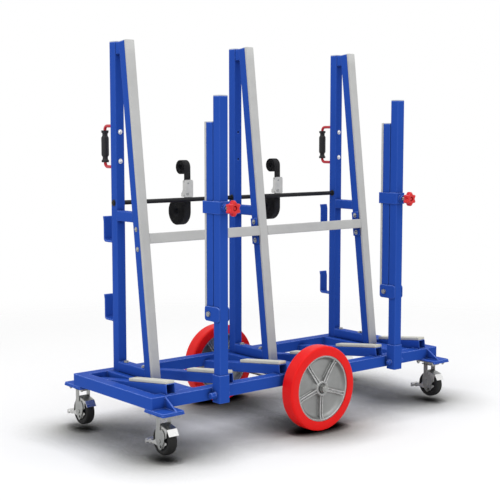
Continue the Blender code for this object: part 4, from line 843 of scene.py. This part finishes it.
def build_wheel(side, sign):
    """Tyre, cast rim with five ribs on each face, and the hub's seals."""
    body = f"wheel_{side}"
    centre, out = at(0, sign * WHEEL_Y, AXLE_Z), Y * sign
    radius, half, bead_r, corner = 0.150, 0.0272, 0.1170, 0.0075
    tyre = [(bead_r, half - 0.0005), (bead_r + 0.0022, half)]
    tyre += arc((radius - corner, half - corner), corner, 90, 0, 6) + [(radius, half - 0.0105), (radius, 0.0)]
    show(turned(bmesh.new(), centre, out, both_sides(tyre), 128, closed=True), f"tyre_{side}", RED_TYRE,
         body, (f"wheel_tyre_{side}",), sharp=40)

    lip, face = bead_r - 0.0002, 0.0240
    rim = [(0.0128, 0.0230), (0.0148, 0.0230), (0.0150, 0.0226), (0.0152, 0.0150), (0.0180, 0.0150),
           (0.0183, 0.0222), (0.0189, 0.0228), (0.0252, 0.0228), (0.0266, 0.0212), (0.0290, 0.0120),
           (0.0330, 0.0085), (0.0400, 0.0068), (0.0940, 0.0060), (0.1000, 0.0072), (0.1045, 0.0110),
           (0.1085, 0.0190), (0.1102, 0.0226), (0.1116, face), (lip - 0.0008, face), (lip, face - 0.0008)]
    show(turned(bmesh.new(), centre, out, both_sides(rim), 96, closed=True), f"rim_{side}", CAST, body,
         (f"wheel_rim_{side}",), sharp=38)

    stations = [(0.0250, 0.0212, 0.0085), (0.032, 0.0190, 0.0078), (0.055, 0.0172, 0.0072),
                (0.085, 0.0166, 0.0070), (0.100, 0.0178, 0.0074), (0.1095, 0.0208, 0.0082)]
    seal = [(0.0153, 0.0), (0.0179, 0.0), (0.0179, 0.0040), (0.0175, 0.0046), (0.0157, 0.0046),
            (0.0153, 0.0040)]
    ribs, seals = bmesh.new(), bmesh.new()
    for rise in (-out, out):
        turned(seals, centre + rise * 0.0151, rise, seal, 48, closed=True)
        for index in range(5):
            angle = math.radians(-90 + 72 * index)
            along = X * math.cos(angle) * -sign + Z * math.sin(angle)
            across = along.cross(out).normalized()
            rings = []
            for reach, height, width in stations:
                flank = [(width + 0.0040, 0.004), (width, 0.0075), (width * 0.94, height - 0.0010),
                         (width * 0.72, height), (width * 0.42, height - 0.0006),
                         (width * 0.22, height - 0.0040)]
                rings.append([ribs.verts.new(centre + along * reach + across * u + rise * h)
                              for u, h in [(-u, h) for u, h in flank] + flank[::-1]])
            skin(ribs, rings)
    show(ribs, f"rim_ribs_{side}", CAST, body, sharp=40)
    show(seals, f"hub_seals_{side}", PLASTIC, body)


# Casters

FORK_SIZE = 0.036
FORK_SHARES = (
    (-0.08, 0.94), (-0.24, 1.12), (-0.48, 1.02), (-0.68, 0.72), (-0.74, 0.36), (-0.60, -0.06),
    (-0.36, -0.56), (-0.20, -0.76), (-0.04, -0.80), (0.14, -0.70), (0.34, -0.44),
    (0.54, -0.08), (0.62, 0.34), (0.47, 1.20),
)
BRAKE_PIN = (-0.0072, -0.0166)


def build_caster(corner, side_x, side_y):
    """Top plate with race and bolts, then the fork, the wheel and the brake of one caster."""
    x, y = side_x * CASTER_X, side_y * CASTER_Y
    plate_top = FRAME_BOTTOM - 0.006 - GAP
    race_top = plate_top - 0.004
    crown_top = race_top - 0.010 - GAP
    hub = at(x, y - 0.002, HUB_Z)
    bolt_spots = [(u * 0.0295, v * 0.0365) for u in (-1, 1) for v in (-1, 1)]
    slots = [[(u + a, v + b) for a, b in rounded(0.0045, 0.0060, 0.0044)] for u, v in bolt_spots]
    show(add_plate(bmesh.new(), [rounded(0.040, 0.047, 0.006)] + slots, 0.004,
                   at(x, y, (plate_top + race_top) / 2), X, Y),
         f"caster_top_{corner}", ZINC, replaces=(f"caster_plate_{corner}",), bevel=(0.0008, 3))
    race = turned(bmesh.new(), at(x, y, race_top + 0.0005), -Z, [
        (0.0, 0.0), (0.0270, 0.0), (0.0270, 0.0042), (0.0262, 0.0050), (0.0250, 0.0054), (0.0250, 0.0072),
        (0.0262, 0.0076), (0.0262, 0.0096), (0.0240, 0.0104), (0.0, 0.0104)])
    pin(race, at(x, y, crown_top - 0.0033), -Z, 0.0100, 0.0040, 32, 0.0008, 0.0010)
    for u, v in bolt_spots:
        spot = at(x + u, y + v, race_top)
        hex_head(race, spot, -Z, 0.0125, 0.0078, 0.0165)
        pin(race, spot - Z * 0.0075, -Z, 0.0038, 0.0046, 18, 0.0005, 0.0006)
    show(race, f"caster_race_{corner}", ZINC)
    build_fork(corner, hub, at(x, y, crown_top - 0.0015), crown_top - HUB_Z)
    build_caster_wheel(corner, hub)
    build_brake(corner, hub)


def build_fork(corner, hub, crown, height):
    """Crown and two lobed cheeks that reach up to it, with the wheel's axle."""
    body = f"caster_fork_{corner}"
    lobes = smooth([(u * FORK_SIZE, v * FORK_SIZE) for u, v in FORK_SHARES], 3, closed=True)
    outline = lobes[:3 * len(FORK_SHARES) - 2] + [(0.47 * FORK_SIZE, height), (-0.08 * FORK_SIZE, height)]
    bm = add_plate(bmesh.new(), [rounded(0.0230, 0.028, 0.006), circle((0, 0), 0.0053, 20)], 0.003,
                   crown, X, Y)
    bolts = pin(bmesh.new(), hub - X * 0.0225, X, 0.004, 0.045, 20)
    for out in (-X, X):
        add_plate(bm, [outline, circle(BRAKE_PIN, 0.0050, 16)], 0.0025, hub + out * (0.0205 + 0.00125), Y, Z)
        hex_head(bolts, hub + out * 0.0230, out, 0.0125, 0.0026)
    show(bm, f"fork_{corner}", ZINC, body, (f"caster_fork_{corner}",), bevel=(0.0008, 3))
    show(bolts, f"fork_axle_{corner}", ZINC, body)


def build_caster_wheel(corner, hub):
    """Rubber tread on a plastic core."""
    body = f"caster_wheel_{corner}"
    tread = [(0.0355, 0.0150), (0.0380, 0.0158), (0.0425, 0.0160), (0.0455, 0.0146), (0.0472, 0.0112),
             (0.0478, 0.0060), (0.0480, 0.0)]
    show(turned(bmesh.new(), hub, X, both_sides(tread), 64, closed=True), f"caster_tread_{corner}", TREAD,
         body, (f"caster_wheel_{corner}",), sharp=45)
    core = [(0.0044, 0.0160), (0.0100, 0.0160), (0.0115, 0.0150), (0.0125, 0.0120), (0.0300, 0.0100),
            (0.0325, 0.0120), (0.0340, 0.0148), (0.0356, 0.0148)]
    show(turned(bmesh.new(), hub, X, both_sides(core), 48, closed=True), f"caster_core_{corner}", PLASTIC,
         body, sharp=45)


def build_brake(corner, hub):
    """Folded shoe and hood over the wheel, the webs that carry them and the pedal."""
    body = f"caster_brake_{corner}"
    sheet, width = 0.0018, 0.038
    grow = 1 + sheet / 0.0505

    def over_wheel(radius, angle):
        return (-radius * math.cos(math.radians(angle)), radius * math.sin(math.radians(angle)))

    low, fold, high = over_wheel(0.0534, 24), over_wheel(0.0556, 49), over_wheel(0.0534, 96)
    # The top facet of this one folded sheet takes the darker zinc as painted shade; the lower facet takes
    # bright steel.
    for name, first, second, material in (("shoe", low, fold, STEEL), ("hood", fold, high, ZINC)):
        shell = [first, second, tuple(v * grow for v in second), tuple(v * grow for v in first)]
        show(add_plate(bmesh.new(), [shell], width, hub, Y, Z), f"brake_{name}_{corner}", material, body,
             (f"caster_brake_{corner}",) if name == "shoe" else (), bevel=(0.0005, 2))
    web = [(fold[0], fold[1] - 0.0005), (high[0], high[1] - 0.0005), (0.014, 0.034), (0.018, 0.014),
           (0.032, -0.003), (0.0533, -0.0085), (0.0533, -0.0150), (0.030, -0.0165), (0.012, -0.0190),
           (-0.0045, -0.0255), (-0.0140, -0.0235), (-0.0220, -0.0130), (-0.0335, -0.0055),
           (-0.0320, -0.0005), (-0.0205, -0.0005), (-0.0170, 0.0045), (-0.0330, 0.0160), (-0.0330, 0.0270)]
    holes = [circle((0.0, 0.0), 0.0043, 20), circle(BRAKE_PIN, 0.0055, 20)]
    bm = bmesh.new()
    for out in (-X, X):
        add_plate(bm, [web] + holes, sheet, hub + out * (width - sheet) / 2, Y, Z)
    show(bm, f"brake_web_{corner}", BUCKLE, body, bevel=(0.0005, 2))

    route = smooth([(0.0500, -0.0105), (0.0600, -0.0125), (0.0740, -0.0155), (0.0855, -0.0170),
                    (0.0893, -0.0185)], 4)
    bm = bmesh.new()
    rows = []
    for index, (u, v) in enumerate(route):
        share = index / (len(route) - 1)
        half = 0.0176 - 0.0030 * max(0.0, share - 0.85) / 0.15
        thick = sheet * 0.9 + 0.0066 * abs(math.sin(2.0 * math.pi * share))
        rows.append([bm.verts.new(hub + X * face * half * t + Y * u
                                  + Z * (v + face * thick * (1.0 if abs(t) < 0.9 else 0.8)))
                     for face in (1, -1) for t in (-1.0, -0.85, -0.4, 0.4, 0.85, 1.0)])
    show(skin(bm, rows), f"brake_pedal_{corner}", BUCKLE, body, sharp=40)


# Clamp posts, arms, screws and knobs

def build_clamp(side, sign):
    """Clamp post, and the arm, screw and knob that it carries."""
    x = sign * CLAMP_X
    build_clamp_post(side, x)
    build_clamp_arm(side, x)
    build_screw(side, x)
    build_knob(side, x)


def build_clamp_post(side, x):
    """Post with its cap, arm guide, screw boss, pivot lugs and welds."""
    middle = (CLAMP_INNER + CLAMP_OUTER) / 2
    show(tube(bmesh.new(), at(x, middle, 0.158), at(x, middle, 1.1595), mouth=0.12), f"front_post_{side}",
         replaces=(f"clamp_post_{side}",))
    show(cap(bmesh.new(), at(x, middle, 1.1595), at(x, middle, 1.163)), f"front_cap_{side}", CAP_GREY,
         bevel=(0.0005, 2))
    guide = channel(0.0045, CLAMP_OUTER + 0.0005, ARM_FACE + 0.014, 0.0045, 0.0, 5)
    show(add_plate(bmesh.new(), [guide], 0.041, at(x, 0, SCREW_Z), X, Y), f"arm_guide_{side}",
         bevel=(0.0009, 3))
    show(turned(bmesh.new(), at(x, CLAMP_OUTER - 0.004, SCREW_Z), -Y, [
        (0.0062, 0.0), (0.0120, 0.0), (0.0120, 0.0112), (0.0110, 0.0120), (0.0070, 0.0120),
        (0.0062, 0.0112)], 40, closed=True), f"screw_nut_{side}")

    welds, lugs = bmesh.new(), bmesh.new()
    bead(welds, [at(u, CLAMP_OUTER - 0.0046, v) for u, v in circle((x, SCREW_Z), 0.0125, 24)], 0.0013,
         closed=True)
    lug_back, lug_half, lug_z = -0.200, 0.0245, PIVOT_Z + 0.0015
    lug_middle = (lug_back + CLAMP_OUTER) / 2
    lug = [rounded((lug_back - CLAMP_OUTER) / 2, lug_half, 0.010, 6),
           circle((ARM_Y - lug_middle, PIVOT_Z - lug_z), 0.0053, 24)]
    for end in (-1, 1):
        add_plate(lugs, lug, 0.004, at(x + end * (HALF + GAP + 0.002), lug_middle, lug_z), Y, Z)
        for middle_z, half, start in ((lug_z, lug_half - 0.0002, 0.012), (SCREW_Z, 0.0205, 0.004)):
            for z in (middle_z - half, middle_z + half):
                weld(welds, x + end * (HALF + 2 * GAP), (CLAMP_OUTER + start, CLAMP_INNER), z, 0.0014)
    show(lugs, f"pivot_lugs_{side}", bevel=(0.0008, 3))
    show(welds, f"front_post_welds_{side}", sharp=80)


def build_clamp_arm(side, x):
    """Arm with its cap, facing and pivot bolt."""
    arm = f"arm_{side}"
    foot, top = PIVOT_Z - 0.019, 1.079
    show(tube(bmesh.new(), at(x, ARM_Y, foot), at(x, ARM_Y, 1.0760), mouth=0.10), f"arm_tube_{side}",
         body=arm, replaces=(f"clamp_arm_{side}",))
    show(cap(bmesh.new(), at(x, ARM_Y, 1.0760), at(x, ARM_Y, top)), f"arm_cap_{side}", CAP_GREY, arm,
         bevel=(0.0005, 2))
    strip(f"arm_facing_{side}", at(x, ARM_FACE + GAP, foot + 0.004), Z, Y, top - foot - 0.004, arm,
          f"clamp_arm_face_{side}")
    grip = HALF + GAP + 0.004 + GAP
    left, right = at(x - grip, ARM_Y, PIVOT_Z), at(x + grip, ARM_Y, PIVOT_Z)
    bm = pin(bmesh.new(), left, X, 0.005, 2 * grip)
    hex_head(bm, left, -X, 0.0158, 0.0058, 0.018)
    hex_head(bm, right, X, 0.0158, 0.0050, 0.018)
    pin(bm, right + X * 0.0048, X, 0.0048, 0.0012, 24, 0.0006, 0.0006)
    show(bm, f"pivot_bolt_{side}", ZINC, replaces=(f"arm_pivot_bolt_{side}",))


def build_screw(side, x):
    """Clamp screw with the grooves of its thread."""
    start, tip = -0.328 + GAP, -0.240 - GAP
    length, pitch, crest = tip - start, 0.00175, 0.0060
    profile = [(0.0, 0.0), (0.0050, 0.0), (crest, 0.0012)]
    for index in range(int((length - 0.006) / pitch)):
        base = 0.0015 + index * pitch
        profile += [(crest, base + 0.0002), (0.0051, base + pitch / 2), (crest, base + pitch - 0.0002)]
    profile += [(crest, length - 0.0020), (0.0048, length), (0.0, length)]
    show(turned(bmesh.new(), at(x, start, SCREW_Z), Y, profile, 28), f"screw_thread_{side}", ZINC,
         f"screw_{side}", (f"clamp_screw_{side}",), sharp=25)


def build_knob(side, x):
    """Star knob with six lobes, its cap and the boss behind it."""
    body = f"knob_{side}"
    back, face, radius, notch = -0.314, -0.336, 0.0260, 0.0072
    waves = [((1 - math.cos(math.pi * index / 8)) / 2) ** 0.8 for index in range(96)]
    layers = [
        (back, 0.30), (back, 0.90), (back - 0.0012, 0.97), (back - 0.0035, 1.0), (face + 0.0070, 1.0),
        (face + 0.0038, 0.985), (face + 0.0016, 0.93), (face + 0.0004, 0.82), (face, 0.62), (face, 0.38),
        (face + 0.0006, 0.34), (face + 0.0066, 0.32)]
    bm = bmesh.new()
    rings = []
    for y, share in layers:
        depth = notch * min(1.0, max(0.0, (share - 0.4) / 0.5))
        radii = [share * (radius - depth * wave) for wave in waves]
        rings.append(ring_of(bm, at(x, y, SCREW_Z), Z, X, radii))
    show(skin(bm, rings), f"star_knob_{side}", KNOB_RED, body, (f"clamp_knob_{side}",), sharp=60)
    show(pin(bmesh.new(), at(x, face + 0.0068, SCREW_Z), -Y, 0.0060, 0.0030, 32, 0.0008, 0.0008),
         f"knob_cap_{side}", KNOB_RED, body)
    boss = [(0.0064, 0.0), (0.0105, 0.0), (0.0120, 0.0012), (0.0064, 0.0012)]
    show(turned(bmesh.new(), at(x, back + 0.0010, SCREW_Z), -Y, boss, 32, closed=True),
         f"knob_boss_{side}", KNOB_RED, body)


# Rolled straps

WEB_HALF = 0.00085
WEB_SEAT = 0.0011
STRAP_PLANE = POST_MIDDLE + ROD_RADIUS + GAP + WEB_SEAT


def roll(height, radius, depth, turns, spin, uneven):
    """Wound part of the strap's centre line, from the strap's plane inwards."""
    loop = 48
    points = []
    for index in range(turns * loop + 1):
        turn = index / loop
        angle = math.pi + spin * 2 * math.pi * turn
        reach = radius - depth / turns * turn + uneven * math.sin(5.0 * angle + turn) * min(1.0, turn)
        points.append((STRAP_PLANE + radius + reach * math.cos(angle), height + reach * math.sin(angle)))
    return points


def build_strap(side, sign):
    """Wound web, its UV in metres along and across it, and the buckle with its pins."""
    x, body = sign * 0.218, f"strap_{side}"
    lower = roll(0.754, 0.0512 - WEB_SEAT, 0.0347, 12, 1, 0.00014)
    route = lower[::-1] + roll(0.917, 0.0276 - WEB_SEAT, 0.0152, 5, -1, 0.0)
    bm = bmesh.new()
    layer = bm.loops.layers.uv.new("web")
    half, soft = 0.0145, 0.0145 - 0.0007
    section = [(-half, WEB_HALF * -0.4), (-half, WEB_HALF * 0.4), (-soft, WEB_HALF), (soft, WEB_HALF),
               (half, WEB_HALF * 0.4), (half, WEB_HALF * -0.4), (soft, -WEB_HALF), (-soft, -WEB_HALF)]
    travelled = [0.0]
    for first, second in zip(route, route[1:]):
        travelled.append(travelled[-1] + math.dist(first, second))
    rings = []
    for index, (y, z) in enumerate(route):
        before, after = route[max(index - 1, 0)], route[min(index + 1, len(route) - 1)]
        normal = X.cross(Vector((0.0, after[0] - before[0], after[1] - before[1])).normalized())
        drift = 0.0004 * math.sin(travelled[index] * 21.0)
        rings.append([bm.verts.new(at(x + u + drift, y, z) + normal * v) for u, v in section])
    for index, (first, second) in enumerate(zip(rings, rings[1:])):
        for step in range(len(section)):
            after = (step + 1) % len(section)
            face = bm.faces.new((first[step], first[after], second[after], second[step]))
            places = (index, index, index + 1, index + 1)
            for corner, place, mark in zip(face.loops, places, (step, after, after, step)):
                corner[layer].uv = (travelled[place], section[mark][0] + half)
    bm.faces.new(rings[0])
    bm.faces.new(rings[-1])
    show(bm, f"strap_web_{side}", WEB, body, (f"strap_webbing_{side}",), sharp=50)

    bottom, top, sheet = ROD_Z + ROD_RADIUS + GAP, 0.872, 0.002
    face = [(-0.019, bottom + 0.004), (-0.017, bottom), (0.017, bottom), (0.019, bottom + 0.004),
            (0.019, top - 0.006), (0.015, top), (-0.015, top), (-0.019, top - 0.006)]
    low, high = bottom + sheet / 2, top - sheet / 2
    waist = bottom + 0.45 * (top - bottom)
    cheek = [(0.0, low), (0.0, high - 0.004), (0.004, high), (0.011, high), (0.014, high - 0.004),
             (0.014, waist), (0.018, waist - 0.010), (0.024, (waist + low) / 2), (0.024, low + 0.003),
             (0.021, low)]
    bm = add_plate(bmesh.new(), [face], sheet, at(x, POST_MIDDLE, 0), X, Z)
    for edge in (x - 0.017, x + 0.017):
        add_plate(bm, [cheek], sheet, at(edge, POST_MIDDLE, 0), Y, Z)
    show(bm, f"buckle_frame_{side}", BUCKLE, body, (f"strap_buckle_{side}",), bevel=(0.0005, 2))
    bar = [(0.0, 0.0), (0.0042, 0.0), (0.0042, 0.0014), (0.0030, 0.0018), (0.0030, 0.0352),
           (0.0042, 0.0356), (0.0042, 0.0370), (0.0, 0.0370)]
    eyelet = [(0.0026, 0.0), (0.0052, 0.0), (0.0052, 0.0014), (0.0044, 0.0020), (0.0026, 0.0014)]
    bm = bmesh.new()
    for z in (bottom + 0.006, top - 0.006):
        turned(bm, at(x - 0.0185, STRAP_PLANE - WEB_SEAT - GAP - 0.003, z), X, bar, 24)
    dome_head(bm, at(x - 0.004, POST_MIDDLE - 0.001, top - 0.012), -Y, 0.0070, 0.0024)
    turned(bm, at(x - 0.006, POST_MIDDLE - 0.001, bottom + 0.012), -Y, eyelet, 28, closed=True)
    show(bm, f"buckle_pins_{side}", ZINC, body)


# Assembly

build_chassis()
build_rest_pads()
for frame_side, frame_x in zip(("left", "middle", "right"), FRAME_XS):
    build_a_frame(frame_side, frame_x)
build_strap_rod()
build_axle()
for side_name, side_sign in (("front", -1), ("back", 1)):
    build_wheel(side_name, side_sign)
for corner_name, corner_signs in CORNERS.items():
    build_caster(corner_name, *corner_signs)
for side_name, side_sign in SIDES.items():
    build_cross_bar(side_name, side_sign)
    build_handle(side_name, side_sign * PITCH)
    build_clamp(side_name, side_sign)
    build_strap(side_name, side_sign)


# Floor, light and camera

def seen_directly(add):
    """1 for a ray of the camera, or one that reaches it off metal or through glass."""
    value = add("LightPath", "Is Camera Ray")
    path = value.node
    for output in ("Is Glossy Ray", "Is Transmission Ray"):
        value = add("Math", "Value", {0: value, 1: path.outputs[output]}, operation="MAXIMUM")
    return value


def build_floor():
    """White floor with the buggy's shadow and a painted shadow, fading into the white surroundings."""
    bm = bmesh.new()
    bmesh.ops.create_circle(bm, cap_ends=True, segments=96, radius=4.5)
    floor = object_of(bm, "floor")
    material = bpy.data.materials.new("floor_white")
    add = adder(material, empty=True)

    def openness(distance, power, factor):
        """Share of open air around a point, to a power, times a factor."""
        air = add("AmbientOcclusion", "AO", {"Distance": distance}, samples=8)
        raised = add("Math", "Value", {0: air, 1: power}, operation="POWER")
        return add("Math", "Value", {0: raised, 1: factor}, operation="MULTIPLY")

    def mix(share, first, second):
        return add("MixShader", "Shader", {"Fac": share, 1: first, 2: second})

    # Painted shadow: to the eye, the floor's colour darkens with ambient occlusion around the buggy, its blue
    # a little more, and an emission shaded the same way lifts the open floor to white.
    near = openness(0.25, 3.0, openness(0.05, 5.0, 0.76))
    painted_shadow_colour = add("CombineColor", "Color", {"Red": near, "Green": near, "Blue": openness(0.25, 0.12, near)})
    painted_glow = add("Emission", "Emission", {"Strength": 0.12, "Color": openness(1.0, 3.0, near)})
    white = add("AddShader", "Shader", {0: add("BsdfDiffuse", "BSDF", {"Color": painted_shadow_colour}), 1: painted_glow})
    plain = add("BsdfDiffuse", "BSDF", {"Color": (0.72, 0.72, 0.72, 1.0)})
    reach = add("VectorMath", "Value", {0: add("TexCoord", "Object")}, operation="LENGTH")
    fade = add("MapRange", "Result", {"From Min": 1.6, "From Max": 3.3, "Value": reach},
               interpolation_type="SMOOTHSTEP")
    look = mix(fade, mix(seen_directly(add), plain, white), add("BsdfTransparent", "BSDF"))
    add("OutputMaterial", None, {"Surface": look})
    floor.data.materials.append(material)


def build_light():
    """White surroundings, dimmer as light than to the eye, and two large lamps."""
    world = bpy.data.worlds.new("studio")
    bpy.context.scene.world = world
    add = adder(world, empty=True)
    white = (1.0, 1.0, 1.0, 1.0)
    lit, seen = [add("Background", "Background", {"Color": white, "Strength": strength})
                 for strength in (0.85, 1.0)]
    blend = add("MixShader", "Shader", {"Fac": seen_directly(add), 1: lit, 2: seen})
    add("OutputWorld", None, {"Surface": blend})
    for name, place, target, size, power in (
            ("top_light", (0.3, -0.9, 4.4), (0.0, 0.0, 0.4), 6.0, 110.0),
            ("left_light", (-4.0, -0.6, 3.0), (0.0, 0.0, 0.9), 1.6, 32.0)):
        lamp = bpy.data.lights.new(name, "AREA")
        lamp.shape = "DISK"
        lamp.size = size
        lamp.energy = power
        holder = bpy.data.objects.new(name, lamp)
        holder.location = place
        holder.rotation_euler = (Vector(target) - Vector(place)).to_track_quat("-Z", "Y").to_euler()
        bpy.context.scene.collection.objects.link(holder)


def build_camera():
    """Camera at the photograph's angle, from the fit to its outlines; focal_px is in pixels of its width."""
    yaw, pitch = math.radians(50.433), math.radians(5.962)
    focal_px, width_px, sensor = 1106.07, 500.0, 36.0
    forward = Vector((math.cos(yaw) * math.cos(pitch), math.sin(yaw) * math.cos(pitch), -math.sin(pitch)))
    right = Vector((math.sin(yaw), -math.cos(yaw), 0.0))
    data = bpy.data.cameras.new("photo_view")
    data.sensor_width = sensor
    data.lens = focal_px / width_px * sensor
    data.clip_end = 300.0
    camera = bpy.data.objects.new("photo_view", data)
    matrix = Matrix((right, right.cross(forward), -forward)).transposed().to_4x4()
    matrix.translation = at(-2.6244, -3.0827, 1.0367)
    camera.matrix_world = matrix
    bpy.context.scene.collection.objects.link(camera)
    bpy.context.scene.camera = camera


build_floor()
build_light()
build_camera()
bpy.context.scene.view_settings.view_transform = "Standard"
